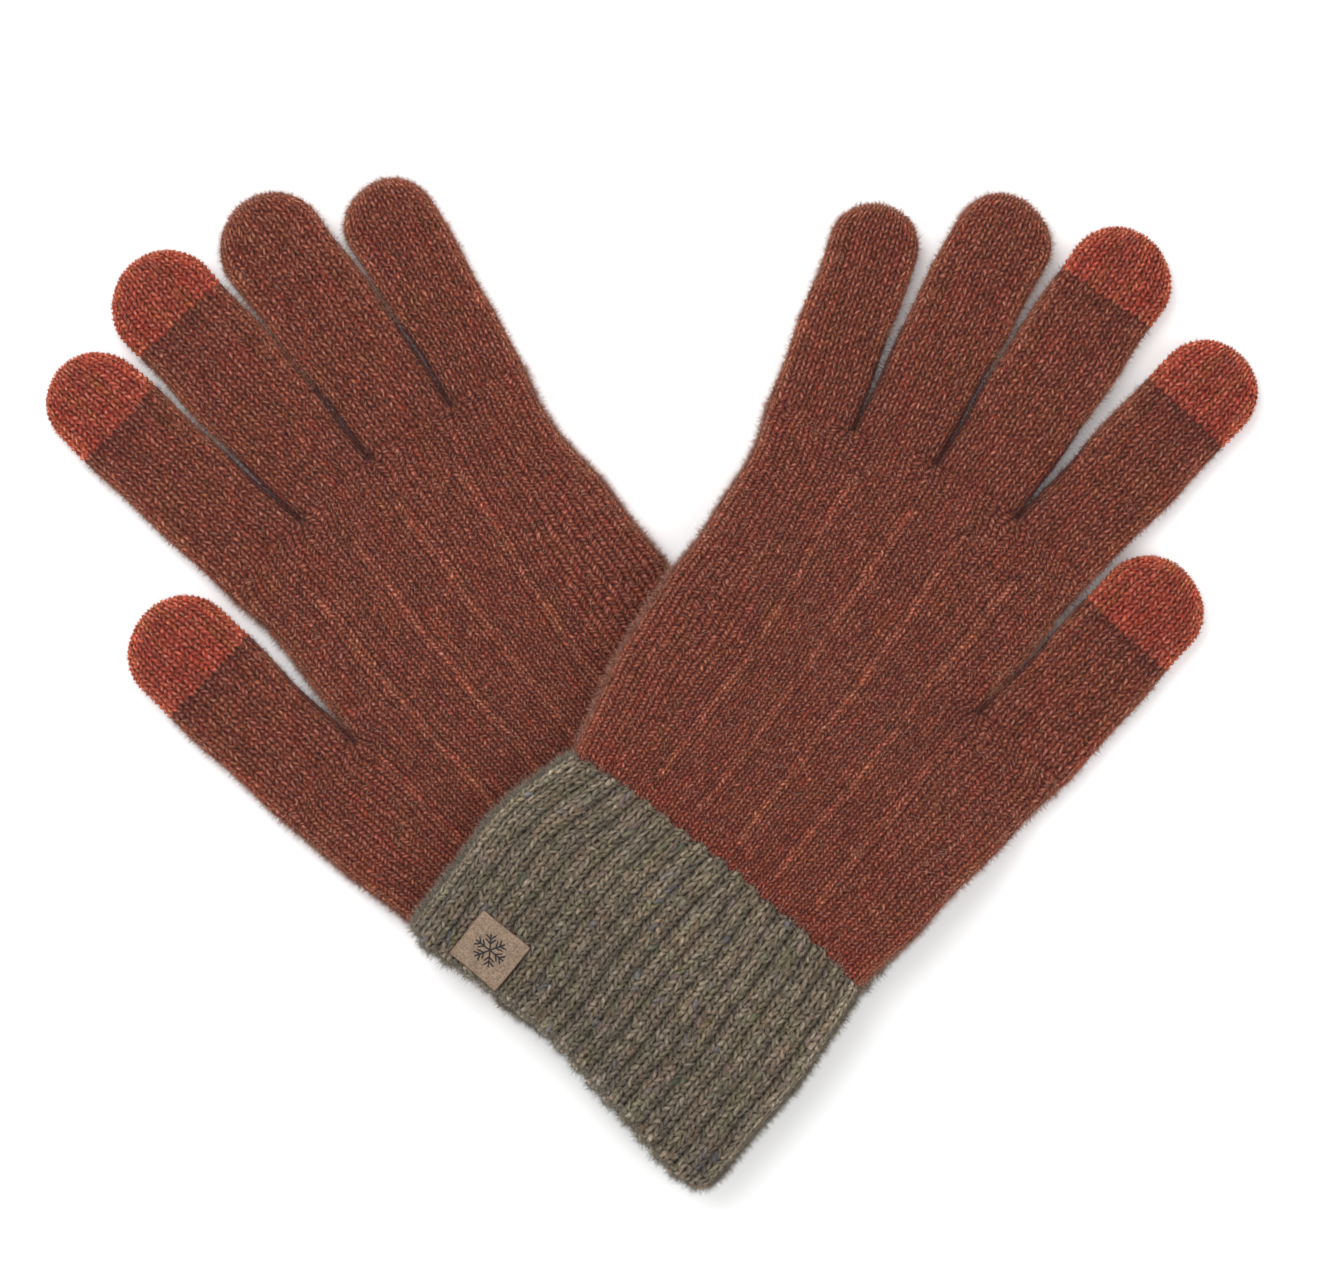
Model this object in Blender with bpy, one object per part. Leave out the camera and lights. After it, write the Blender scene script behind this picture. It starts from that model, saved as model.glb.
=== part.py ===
"""A pair of knitted touchscreen gloves, laid flat with the cuffs crossed, the left glove on top.

Each glove is a hand, a rib cuff, five finger tubes and three conductive fingertips, all hollow and all
in separate objects. Each glove is drawn in its own plan, in millimetres: the origin is the middle of the
wrist, +Y runs from the cuff to the fingers and +X points to the thumb. The plan of the right glove is
mirrored when it is placed. Model units are metres, +Z is up and the gloves lie on Z = 0.
"""
import math

import bmesh
import bpy
from mathutils import Matrix, Vector

MM = 0.001
GAP = 0.3                    # clearance between pieces that meet

# Fabric and the flattened tubes that it makes
HAND_THICK = 8.0             # outside height of the flattened hand and fingers
HAND_WALL = 1.5              # knitted wall of the hand and fingers
CUFF_THICK = 9.0
CUFF_WALL = 2.0
SIDE_STEPS = 6               # facets round each rounded side
CROTCH_STEPS = 4             # facets round each crotch between two fingers
TIP_STEPS = 8                # facets round the plan of a fingertip

WRIST_HALF = 41.8            # half the width of the wrist, where the hand and the cuff meet

# Plan of the hand and fingers
CROTCH_RADIUS = 0.5          # rounded bottom of the slit between two fingers
STUB = 2.0                   # length of each finger knitted in one piece with the hand, beyond its crotch
TIP_ROUNDNESS = 0.86         # length of the rounded fingertip over half its width
SPREAD_LENGTH = 34.0         # distance from its root over which a finger reaches its full width
TOUCH_LENGTH = {"thumb": 19.9, "index": 18.1, "middle": 15.7}

FINGERS = ("little", "ring", "middle", "index", "thumb")

# The two gloves are stretched and fanned out a little differently. A finger's root lies between two points:
# the crotches, or for the outer sides the place where the finger leaves the hand's outline. Each side of a
# cuff runs from its mouth to the shoulder near the wrist.
GLOVES = {
    "left": {
        "place": (14.2, -42.4),
        "heading": 50.5,
        "mirrored": False,
        "base": CUFF_THICK + GAP,
        "cuff_little_side": [(-46.0, -53.6), (-45.6, -12.0)],
        "cuff_thumb_side": [(44.6, -8.0), (44.6, -26.0), (45.8, -57.0)],
        "roots": {
            "little": ((-57.6, 91.5), (-39.5, 98.4)),
            "ring": ((-39.5, 98.4), (-20.3, 104.4)),
            "middle": ((-20.3, 104.4), (1.7, 106.3)),
            "index": ((1.7, 106.3), (23.9, 104.5)),
            "thumb": ((23.1, 66.7), (48.8, 65.5)),
        },
        "tips": {
            "little": (-66.4, 141.6),
            "ring": (-43.2, 163.0),
            "middle": (-15.6, 174.4),
            "index": (17.9, 167.6),
            "thumb": (38.9, 121.2),
        },
        "widths": {"little": 20.4, "ring": 23.4, "middle": 24.4, "index": 23.2, "thumb": 23.4},
        "little_side": [(-WRIST_HALF, 0.0), (-46.3, 15.7), (-50.2, 34.8), (-51.6, 60.0), (-52.7, 82.0)],
        "slit_side": [(23.2, 85.0)],
        "thumb_side": [(48.0, 57.0), (45.6, 34.0), (43.6, 14.0), (WRIST_HALF, 0.0)],
    },
    "right": {
        "place": (-4.9, -42.2),
        "heading": 135.0,
        "mirrored": True,
        "base": 0.0,
        "cuff_little_side": [(-44.0, -54.5), (-44.0, -12.0)],
        "cuff_thumb_side": [(41.0, -12.0), (40.2, -55.5)],
        "roots": {
            "little": ((-64.6, 99.1), (-46.6, 104.1)),
            "ring": ((-46.6, 104.1), (-25.1, 108.4)),
            "middle": ((-25.1, 108.4), (-3.6, 109.9)),
            "index": ((-3.6, 109.9), (20.0, 108.9)),
            "thumb": ((23.0, 65.6), (47.8, 65.0)),
        },
        "tips": {
            "little": (-69.3, 151.8),
            "ring": (-45.4, 170.6),
            "middle": (-17.0, 178.3),
            "index": (11.0, 173.0),
            "thumb": (36.6, 120.4),
        },
        "widths": {"little": 21.0, "ring": 24.4, "middle": 24.2, "index": 23.8, "thumb": 24.4},
        "little_side": [(-WRIST_HALF, 0.0), (-49.8, 20.0), (-55.6, 42.0), (-59.4, 66.0), (-61.4, 90.0)],
        "slit_side": [(19.0, 95.0), (20.8, 79.0)],
        "thumb_side": [(47.0, 57.0), (44.2, 34.0), (42.8, 20.0), (WRIST_HALF, 0.0)],
    },
}

# The left glove comes down from the right glove to the surface, as a ramp across its hand
RAMP_HEADING = 36.9          # direction in which it comes down
RAMP_START = 24.8            # distance from the origin to the top of the ramp, along that direction
RAMP_LENGTH = 30.5
RAMP_STRIPS = 6

LABEL_SIDE = 13.4
LABEL_THICK = 1.0
LABEL_CENTRE = (-27.8, -46.0)
LABEL_TURN = 4.0
LABEL_CORNER = 0.5

MATERIALS = {
    "hand_knit": ((0.180, 0.052, 0.032), 0.95),
    "touch_knit": ((0.260, 0.055, 0.036), 0.92),
    "cuff_rib": ((0.140, 0.110, 0.078), 0.97),
    "label": ((0.330, 0.230, 0.150), 0.70),
}


def clear_scene():
    """Remove whatever the file holds."""
    for obj in list(bpy.data.objects):
        bpy.data.objects.remove(obj, do_unlink=True)


def make_materials():
    """One Principled material for each yarn and for the label."""
    made = {}
    for name, (colour, roughness) in MATERIALS.items():
        material = bpy.data.materials.new(name)
        material.use_nodes = True
        shader = material.node_tree.nodes["Principled BSDF"]
        shader.inputs["Base Color"].default_value = (*colour, 1.0)
        shader.inputs["Roughness"].default_value = roughness
        shader.inputs["Metallic"].default_value = 0.0
        made[name] = material
    return made


# Plan geometry

def right_of(direction):
    """The unit vector 90 degrees clockwise from a direction in plan."""
    return Vector((direction.y, -direction.x))


def meet(point_a, along_a, point_b, along_b):
    """The point where two lines in plan cross."""
    across = along_a.x * along_b.y - along_a.y * along_b.x
    offset = point_b - point_a
    distance = (offset.x * along_b.y - offset.y * along_b.x) / across
    return point_a + along_a * distance


def inset_chain(points, inset, first_cut=None, last_cut=None):
    """Move a chain of edges to its right, mitred at its bends, and end it on cut lines (point, direction)."""
    lines = []
    for start, end in zip(points, points[1:]):
        along = (end - start).normalized()
        lines.append((start + right_of(along) * inset, along))
    first = meet(*lines[0], *first_cut) if first_cut else lines[0][0]
    joints = [meet(*one, *two) for one, two in zip(lines, lines[1:])]
    last_start, last_along = lines[-1]
    last_length = (points[-1] - points[-2]).length
    last = meet(last_start, last_along, *last_cut) if last_cut else last_start + last_along * last_length
    return [first, *joints, last]


class Finger:
    """The plan of one finger: its axis, its width along the way, and the line in which its root is cut."""

    def __init__(self, glove, name):
        little_side, thumb_side = (Vector(p) for p in glove["roots"][name])
        self.name = name
        self.tip = Vector(glove["tips"][name])
        self.middle = (little_side + thumb_side) / 2
        self.along = (self.tip - self.middle).normalized()
        self.across = right_of(self.along)
        self.left = (little_side - self.middle).dot(self.across) + CROTCH_RADIUS
        self.right = (thumb_side - self.middle).dot(self.across) - CROTCH_RADIUS
        if name == "little":
            self.left -= CROTCH_RADIUS
        if name in ("index", "thumb"):
            self.right += CROTCH_RADIUS
        self.crotches = (little_side - self.middle, thumb_side - self.middle)
        self.length = (self.tip - self.middle).dot(self.along)
        self.full_width = glove["widths"][name]

    def cut_root(self, fold_line):
        """Cut the root parallel to the line in which the finger folds, just beyond the crotches beside it."""
        self.fold_line = fold_line
        self.lean = fold_line.dot(self.along) / fold_line.dot(self.across)
        reaches = [p.dot(self.along) - p.dot(self.across) * self.lean for p in self.crotches]
        self.root = max(reaches) + STUB

    def point(self, distance, side):
        """A point at a distance along the axis and to one side of it."""
        return self.middle + self.along * distance + self.across * side

    def root_point(self, side, beyond=0.0):
        """The point of the root line, or of a line just beyond it, that is to one side of the axis."""
        return self.point(self.root + side * self.lean + beyond, side)

    def root_cut(self):
        """The line of the root, across the finger."""
        return self.root_point(0.0), self.fold_line

    def sides_at(self, distance):
        """Where the two sides of the finger are at a distance along its axis."""
        share = min(max((distance - self.root) / SPREAD_LENGTH, 0.0), 1.0)
        share = share * share * (3.0 - 2.0 * share)
        centre = (self.left + self.right) / 2 * (1.0 - share)
        half = ((self.right - self.left) * (1.0 - share) + self.full_width * share) / 2
        return centre - half, centre + half


def fingers_of(glove):
    """The five fingers of a glove. The four that share the knuckles fold about parallel lines."""
    fingers = [Finger(glove, name) for name in FINGERS]
    knuckles = sum((finger.along for finger in fingers if finger.name != "thumb"), Vector((0.0, 0.0)))
    for finger in fingers:
        finger.cut_root(finger.across if finger.name == "thumb" else right_of(knuckles.normalized()))
    return fingers


def crotch_arc(centre, before, after, radius):
    """Points round a crotch, from the side that runs along 'before' to the side that runs along 'after'."""
    start = right_of(before) * -1.0
    end = right_of(after)
    first = math.atan2(start.y, start.x)
    turn = (math.atan2(end.y, end.x) - first) % (2.0 * math.pi)
    points = []
    for step in range(CROTCH_STEPS + 1):
        angle = first + turn * step / CROTCH_STEPS
        points.append(centre + Vector((math.cos(angle), math.sin(angle))) * radius)
    return points


def hand_outline(glove, fingers, inset):
    """The hand's plan moved in by 'inset', clockwise from the wrist's little side, with its open edges.

    Returns the points, and the index of the first point of each open edge: an open edge is cut straight.
    """
    by_name = {finger.name: finger for finger in fingers}
    wrist_cut = (Vector((0.0, GAP / 2)), Vector((1.0, 0.0)))
    radius = CROTCH_RADIUS + inset
    little = by_name["little"]
    chain = [Vector(p) for p in glove["little_side"]]
    chain += [little.point(0.0, little.left), little.root_point(little.left)]
    points = inset_chain(chain, inset, wrist_cut, little.root_cut())
    open_edges = []
    for before, after in zip(FINGERS[:3], FINGERS[1:4]):
        one = by_name[before]
        two = by_name[after]
        centre = Vector(glove["roots"][after][0])
        open_edges.append(len(points) - 1)
        points.append(one.root_point(one.right - inset))
        points += crotch_arc(centre, one.along, two.along, radius)
        points.append(two.root_point(two.left + inset))
    index = by_name["index"]
    thumb = by_name["thumb"]
    centre = Vector(glove["roots"]["thumb"][0])
    slit = [index.root_point(index.right), index.point(0.0, index.right)]
    slit += [Vector(p) for p in glove["slit_side"]]
    beside = (centre - slit[-1]).normalized()
    slit.append(centre + right_of(beside) * CROTCH_RADIUS)
    open_edges.append(len(points) - 1)
    points += inset_chain(slit, inset, index.root_cut())[:-1]
    points += crotch_arc(centre, beside * -1.0, thumb.along, radius)
    points.append(thumb.root_point(thumb.left + inset))
    open_edges.append(len(points) - 1)
    outer = [thumb.root_point(thumb.right), thumb.point(0.0, thumb.right)]
    outer += [Vector(p) for p in glove["thumb_side"]]
    points += inset_chain(outer, inset, thumb.root_cut(), wrist_cut)
    open_edges.append(len(points) - 1)
    return points, open_edges


def straight_sides(finger, start, end, inset):
    """The two sides of a finger between two distances. With no start they leave from its root."""
    stations = [finger.root + SPREAD_LENGTH / 2, finger.root + SPREAD_LENGTH]
    stations = [d for d in stations if (start or finger.root) + 1.0 < d < end - 1.0]
    if start is not None:
        stations.insert(0, start)
    left = [finger.point(d, finger.sides_at(d)[0] + inset) for d in stations]
    right = [finger.point(d, finger.sides_at(d)[1] - inset) for d in stations]
    if start is None:
        left.insert(0, finger.root_point(finger.left + inset, GAP))
        right.insert(0, finger.root_point(finger.right - inset, GAP))
    return left, right


def tube_outline(finger, end, inset):
    """A finger's plan from its root to a distance, clockwise, open across both its ends."""
    left, right = straight_sides(finger, None, end, inset)
    left.append(finger.point(end, finger.sides_at(end)[0] + inset))
    right.append(finger.point(end, finger.sides_at(end)[1] - inset))
    right.reverse()
    return left + right, [len(left) - 1, len(left) + len(right) - 1]


def tip_outline(finger, start, inset):
    """The rounded end of a finger's plan from 'start' on, clockwise, open across its start.

    With no start it is the whole finger, from its root.
    """
    half = finger.full_width / 2
    bend = finger.length - half * TIP_ROUNDNESS
    left, right = straight_sides(finger, start, bend, inset)
    right.reverse()
    arc = []
    for step in range(TIP_STEPS + 1):
        angle = math.pi * step / TIP_STEPS
        side = -math.cos(angle) * (half - inset)
        arc.append(finger.point(bend + math.sin(angle) * (half * TIP_ROUNDNESS - inset), side))
    points = left + arc + right
    return points, [len(points) - 1]


def cuff_outline(glove, inset):
    """The cuff's plan, clockwise from its mouth's little side, open at the mouth and at the wrist."""
    wrist_cut = (Vector((0.0, -GAP / 2)), Vector((1.0, 0.0)))
    left = [Vector(p) for p in glove["cuff_little_side"]] + [Vector((-WRIST_HALF, 0.0))]
    right = [Vector((WRIST_HALF, 0.0))] + [Vector(p) for p in glove["cuff_thumb_side"]]
    mouth_cut = (left[0], (right[-1] - left[0]).normalized())
    points = inset_chain(left, inset, mouth_cut, wrist_cut)
    wrist_edge = len(points) - 1
    points += inset_chain(right, inset, wrist_cut, mouth_cut)
    return points, [wrist_edge, len(points) - 1]


# Solids

def skin(bm, outline, thick, wall):
    """Rings of points from the bottom to the top of a rounded shell, its wall moved in from the outside."""
    rings = []
    radius = thick / 2 - wall
    for step in range(SIDE_STEPS + 1):
        angle = math.pi * (step / SIDE_STEPS - 0.5)
        inset = wall + radius * (1.0 - math.cos(angle))
        height = thick / 2 + radius * math.sin(angle)
        points, open_edges = outline(inset)
        rings.append([bm.verts.new((p.x, p.y, height)) for p in points])
    return rings, set(open_edges)


def hollow_solid(outline, thick, wall):
    """A flattened tube with rounded sides: an outer skin, an inner skin, and a rim round each open edge."""
    bm = bmesh.new()
    outer, open_edges = skin(bm, outline, thick, 0.0)
    inner, _ = skin(bm, outline, thick, wall)
    count = len(outer[0])
    for number in range(count):
        after = (number + 1) % count
        for low_out, high_out, low_in, high_in in zip(outer, outer[1:], inner, inner[1:]):
            if number in open_edges:
                bm.faces.new((low_out[number], high_out[number], high_in[number], low_in[number]))
                bm.faces.new((high_out[after], low_out[after], low_in[after], high_in[after]))
            else:
                bm.faces.new((low_out[number], high_out[number], high_out[after], low_out[after]))
                bm.faces.new((high_in[number], low_in[number], low_in[after], high_in[after]))
        if number in open_edges:
            bm.faces.new((outer[-1][number], outer[-1][after], inner[-1][after], inner[-1][number]))
            bm.faces.new((outer[0][after], outer[0][number], inner[0][number], inner[0][after]))
    bm.faces.new(outer[0])
    bm.faces.new(list(reversed(outer[-1])))
    bm.faces.new(list(reversed(inner[0])))
    bm.faces.new(inner[-1])
    bm.normal_update()
    return bm


def label_solid():
    """A thin square plate with small round corners."""
    bm = bmesh.new()
    bmesh.ops.create_cube(bm, size=1.0)
    bmesh.ops.scale(bm, vec=(LABEL_SIDE, LABEL_SIDE, LABEL_THICK), verts=bm.verts)
    upright = [e for e in bm.edges if abs(e.verts[0].co.z - e.verts[1].co.z) > LABEL_THICK / 2]
    bmesh.ops.bevel(bm, geom=upright, offset=LABEL_CORNER, segments=3, affect="EDGES", profile=0.5)
    return bm


def drape(bm, placing, base):
    """Raise a hand by 'base' where it lies on the other glove and let it down to the surface beyond it."""
    heading = math.radians(RAMP_HEADING)
    down = placing.to_3x3().inverted() @ Vector((math.cos(heading), math.sin(heading), 0.0))
    origin = placing.inverted() @ Vector((0.0, 0.0, 0.0))
    edges = [RAMP_START + RAMP_LENGTH * step / RAMP_STRIPS for step in range(RAMP_STRIPS + 1)]
    for distance in edges:
        geometry = bm.verts[:] + bm.edges[:] + bm.faces[:]
        place = origin + down * distance
        bmesh.ops.bisect_plane(bm, geom=geometry, plane_co=place, plane_no=down, dist=0.001)
    for vert in bm.verts:
        distance = (vert.co - origin).dot(down)
        share = min(max((distance - RAMP_START) / RAMP_LENGTH, 0.0), 1.0)
        vert.co.z += base * (1.0 - share * share * (3.0 - 2.0 * share))


# Objects

def add_empty(name, parent, location, heading=0.0):
    """An empty that carries pieces, at a place on a joint's axis."""
    empty = bpy.data.objects.new(name, None)
    empty.empty_display_size = 0.01
    empty.parent = parent
    empty.location = Vector(location) * MM
    empty.rotation_euler = (0.0, 0.0, heading)
    bpy.context.scene.collection.objects.link(empty)
    return empty


def add_piece(name, bm, material, parent, pivot, mirrored):
    """Turn a plan-frame mesh in millimetres into an object under its parent, whose place is 'pivot'."""
    flip = Matrix.Diagonal((-1.0 if mirrored else 1.0, 1.0, 1.0, 1.0))
    bm.transform(Matrix.Scale(MM, 4) @ Matrix.Translation(-Vector(pivot)) @ flip)
    if mirrored:
        bmesh.ops.reverse_faces(bm, faces=bm.faces)
    bmesh.ops.triangulate(bm, faces=[f for f in bm.faces if len(f.verts) > 4])
    mesh = bpy.data.meshes.new(name)
    bm.to_mesh(mesh)
    bm.free()
    mesh.materials.append(material)
    mesh.shade_smooth()
    mesh.set_sharp_from_angle(angle=math.radians(35.0))
    piece = bpy.data.objects.new(name, mesh)
    piece.parent = parent
    bpy.context.scene.collection.objects.link(piece)
    return piece


def pivot_of(finger, mirrored):
    """The middle of a finger's fold line: on top of the finger, halfway across the gap at its root."""
    place = finger.root_point((finger.left + finger.right) / 2, GAP / 2)
    return Vector((-place.x if mirrored else place.x, place.y, HAND_THICK))


def add_finger(side, finger, parent, parent_pivot, mirrored, materials):
    """A finger tube, and its conductive tip where it has one, on a pivot at its root."""
    pivot = pivot_of(finger, mirrored)
    holder = add_empty(f"{side}_{finger.name}_pivot", parent, pivot - parent_pivot)
    name = f"{side}_{finger.name}"
    if finger.name in TOUCH_LENGTH:
        change = finger.length - TOUCH_LENGTH[finger.name]
        end = change - GAP / 2
        tube = hollow_solid(lambda inset: tube_outline(finger, end, inset), HAND_THICK, HAND_WALL)
        tip = hollow_solid(lambda inset: tip_outline(finger, change + GAP / 2, inset), HAND_THICK, HAND_WALL)
        add_piece(f"{name}_tip", tip, materials["touch_knit"], holder, pivot, mirrored)
    else:
        tube = hollow_solid(lambda inset: tip_outline(finger, None, inset), HAND_THICK, HAND_WALL)
    add_piece(name, tube, materials["hand_knit"], holder, pivot, mirrored)


def add_label(side, glove, parent, materials):
    """The label, lying on the cuff near its mouth on the little finger's side."""
    bm = label_solid()
    bm.transform(Matrix.Rotation(math.radians(LABEL_TURN), 4, "Z"))
    height = glove["base"] + CUFF_THICK + GAP + LABEL_THICK / 2
    bm.transform(Matrix.Translation((*LABEL_CENTRE, height)))
    add_piece(f"{side}_label", bm, materials["label"], parent, (0.0, 0.0, 0.0), glove["mirrored"])


def add_glove(side, materials):
    """One whole glove, placed and turned as it lies."""
    glove = GLOVES[side]
    mirrored = glove["mirrored"]
    turn = math.radians(glove["heading"] - 90.0)
    placing = Matrix.Translation((*glove["place"], 0.0)) @ Matrix.Rotation(turn, 4, "Z")
    whole = add_empty(f"{side}_glove", None, (*glove["place"], 0.0), turn)

    cuff = hollow_solid(lambda inset: cuff_outline(glove, inset), CUFF_THICK, CUFF_WALL)
    bmesh.ops.translate(cuff, verts=cuff.verts, vec=(0.0, 0.0, glove["base"]))
    add_piece(f"{side}_cuff", cuff, materials["cuff_rib"], whole, (0.0, 0.0, 0.0), mirrored)

    fingers = fingers_of(glove)
    hand = hollow_solid(lambda inset: hand_outline(glove, fingers, inset), HAND_THICK, HAND_WALL)
    if glove["base"] > 0.0:
        drape(hand, placing, glove["base"])
    wrist = Vector((0.0, 0.0, glove["base"] + HAND_THICK))
    wrist_holder = add_empty(f"{side}_wrist_pivot", whole, wrist)
    add_piece(f"{side}_hand", hand, materials["hand_knit"], wrist_holder, wrist, mirrored)
    for finger in fingers:
        add_finger(side, finger, wrist_holder, wrist, mirrored, materials)
    if side == "left":
        add_label(side, glove, whole, materials)


def main():
    clear_scene()
    materials = make_materials()
    for side in GLOVES:
        add_glove(side, materials)


main()
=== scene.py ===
"""The looks of a pair of knitted touchscreen gloves that lie flat with their cuffs crossed.

Each glove is drawn in its own plan, in millimetres, as in the CAD: the origin is the middle of the wrist, +Y
runs from the cuff to the fingers and +X points to the thumb. Every piece of knitting is a fine mesh whose
columns follow the wales and whose rows follow the courses, so that its stitches are real relief. The mesh
carries its stitch coordinates to the materials, which colour and bump each stitch from them.
"""

import math

import bmesh
import bpy
import numpy as np
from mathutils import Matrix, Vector


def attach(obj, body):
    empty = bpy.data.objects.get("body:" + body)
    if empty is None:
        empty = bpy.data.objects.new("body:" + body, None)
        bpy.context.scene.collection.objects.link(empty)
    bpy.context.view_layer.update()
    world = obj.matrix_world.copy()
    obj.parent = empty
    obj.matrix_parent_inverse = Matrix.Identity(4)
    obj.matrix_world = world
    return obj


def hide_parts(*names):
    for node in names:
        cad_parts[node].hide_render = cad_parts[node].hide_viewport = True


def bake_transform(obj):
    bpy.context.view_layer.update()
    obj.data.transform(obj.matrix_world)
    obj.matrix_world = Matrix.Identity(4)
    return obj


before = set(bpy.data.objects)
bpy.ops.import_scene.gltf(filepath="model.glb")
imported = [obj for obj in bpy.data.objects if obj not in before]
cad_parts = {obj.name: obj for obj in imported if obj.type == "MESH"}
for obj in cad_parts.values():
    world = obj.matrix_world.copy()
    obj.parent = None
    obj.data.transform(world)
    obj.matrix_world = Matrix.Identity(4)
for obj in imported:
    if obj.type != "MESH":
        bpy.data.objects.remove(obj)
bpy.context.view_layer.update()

MM = 0.001
FAR = 1e3                    # a distance too great to matter
RANDOM = np.random.default_rng(20)

# Cross-sections of the flattened tubes, in millimetres
LIFT = 0.25                  # clearance under each glove, for the stitches on its underside
SIDE_RADIUS = 3.1            # rounded sides of the hand and fingers
CROWN = 0.8                  # extra height in the middle of a finger or of the palm
CROWN_REACH = 11.0
CUFF_RADIUS = 4.05
CUFF_WALL = 1.9
CUFF_END_WALL = 0.7          # the cuff's wall where it lies over the hand
TUCK = 1.5                   # how far the hand reaches into the cuff
TUCK_RADIUS = 2.65           # side radius of the hand inside the cuff
TUCK_NARROWING = 0.9
WRIST_BLEND = 12.0           # length over which the hand grows from the cuff to its own section

# Stitches
COURSE = 1.12                # height of a stitch on the hand
FINGER_COURSE = 1.5
CUFF_COURSE = 1.75
HAND_ROWS = 3                # mesh rows in each course
FINGER_ROWS = 4
CUFF_ROWS = 4
WALE_COLUMNS = 4             # mesh columns in each wale, on the upper side
CHEVRON = 0.5                # how far the legs of a stitch lean, as a share of its height
HAND_RELIEF = 0.24
FINGER_RELIEF = 0.32
TIP_RELIEF = 0.6
CUFF_RELIEF = 0.42
RIB_WALES = 4                # two plain wales and two sunken ones
RIB_DEPTH = 0.75
CUFF_RIBS = 17               # ribs across one side of a cuff
MOUTH_CORNER = (7.0, 3.2)    # rounding of the mouth's two corners, across and along the cuff
MOUTH_SCALLOP = 0.35
LOWER_LIP = 1.5              # how far the mouth's lower side lies out beyond its upper side
RIB_SHAPE = 0.6              # below 1, a rib is broader than the groove beside it
RIDGE_RELIEF = 0.4           # legs that stand up in thin lines on the back of the hand
RIDGE_WALES = (19.5, 31.5, 42.5, 54.5, 65.5)
RIDGE_HALF = 1.6             # half the width of a line, in wales
RIDGE_START = (0.07, 0.05)   # where on the hand's length the lines begin, and over how much of it
RIDGE_END = (0.93, 0.06)
LEAST_RELIEF = 0.35          # what is left of the relief where a row joins another piece
BEADING = 0.25               # how deep the dips between the stitches of a leg are
UNEVENNESS = 0.35
HASH = (12.9898, 78.233, 43758.5453)    # the usual constants of a sine hash
GATHER_REACH = 3.5           # puckers round a crotch: how far they reach, their height, closeness and sink
GATHER = (0.12, 2.9, 0.3)
WRIST_BULGE = 2.6            # how far the middle of the cuff reaches over the hand
SCALLOP = 0.9                # how much further each rib reaches

STRIP_WALES = {"little": 15, "ring": 16, "middle": 17, "index": 18, "thumb": 19}
FINGER_WALES = {"little": 21, "ring": 22, "middle": 23, "index": 22, "thumb": 23}
FINGERS = tuple(STRIP_WALES)
ROOT_STRETCH = 4             # outer wales of the hand that widen to go round a finger's root
ROOT_LENGTH = 8.0            # length over which they widen

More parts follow.
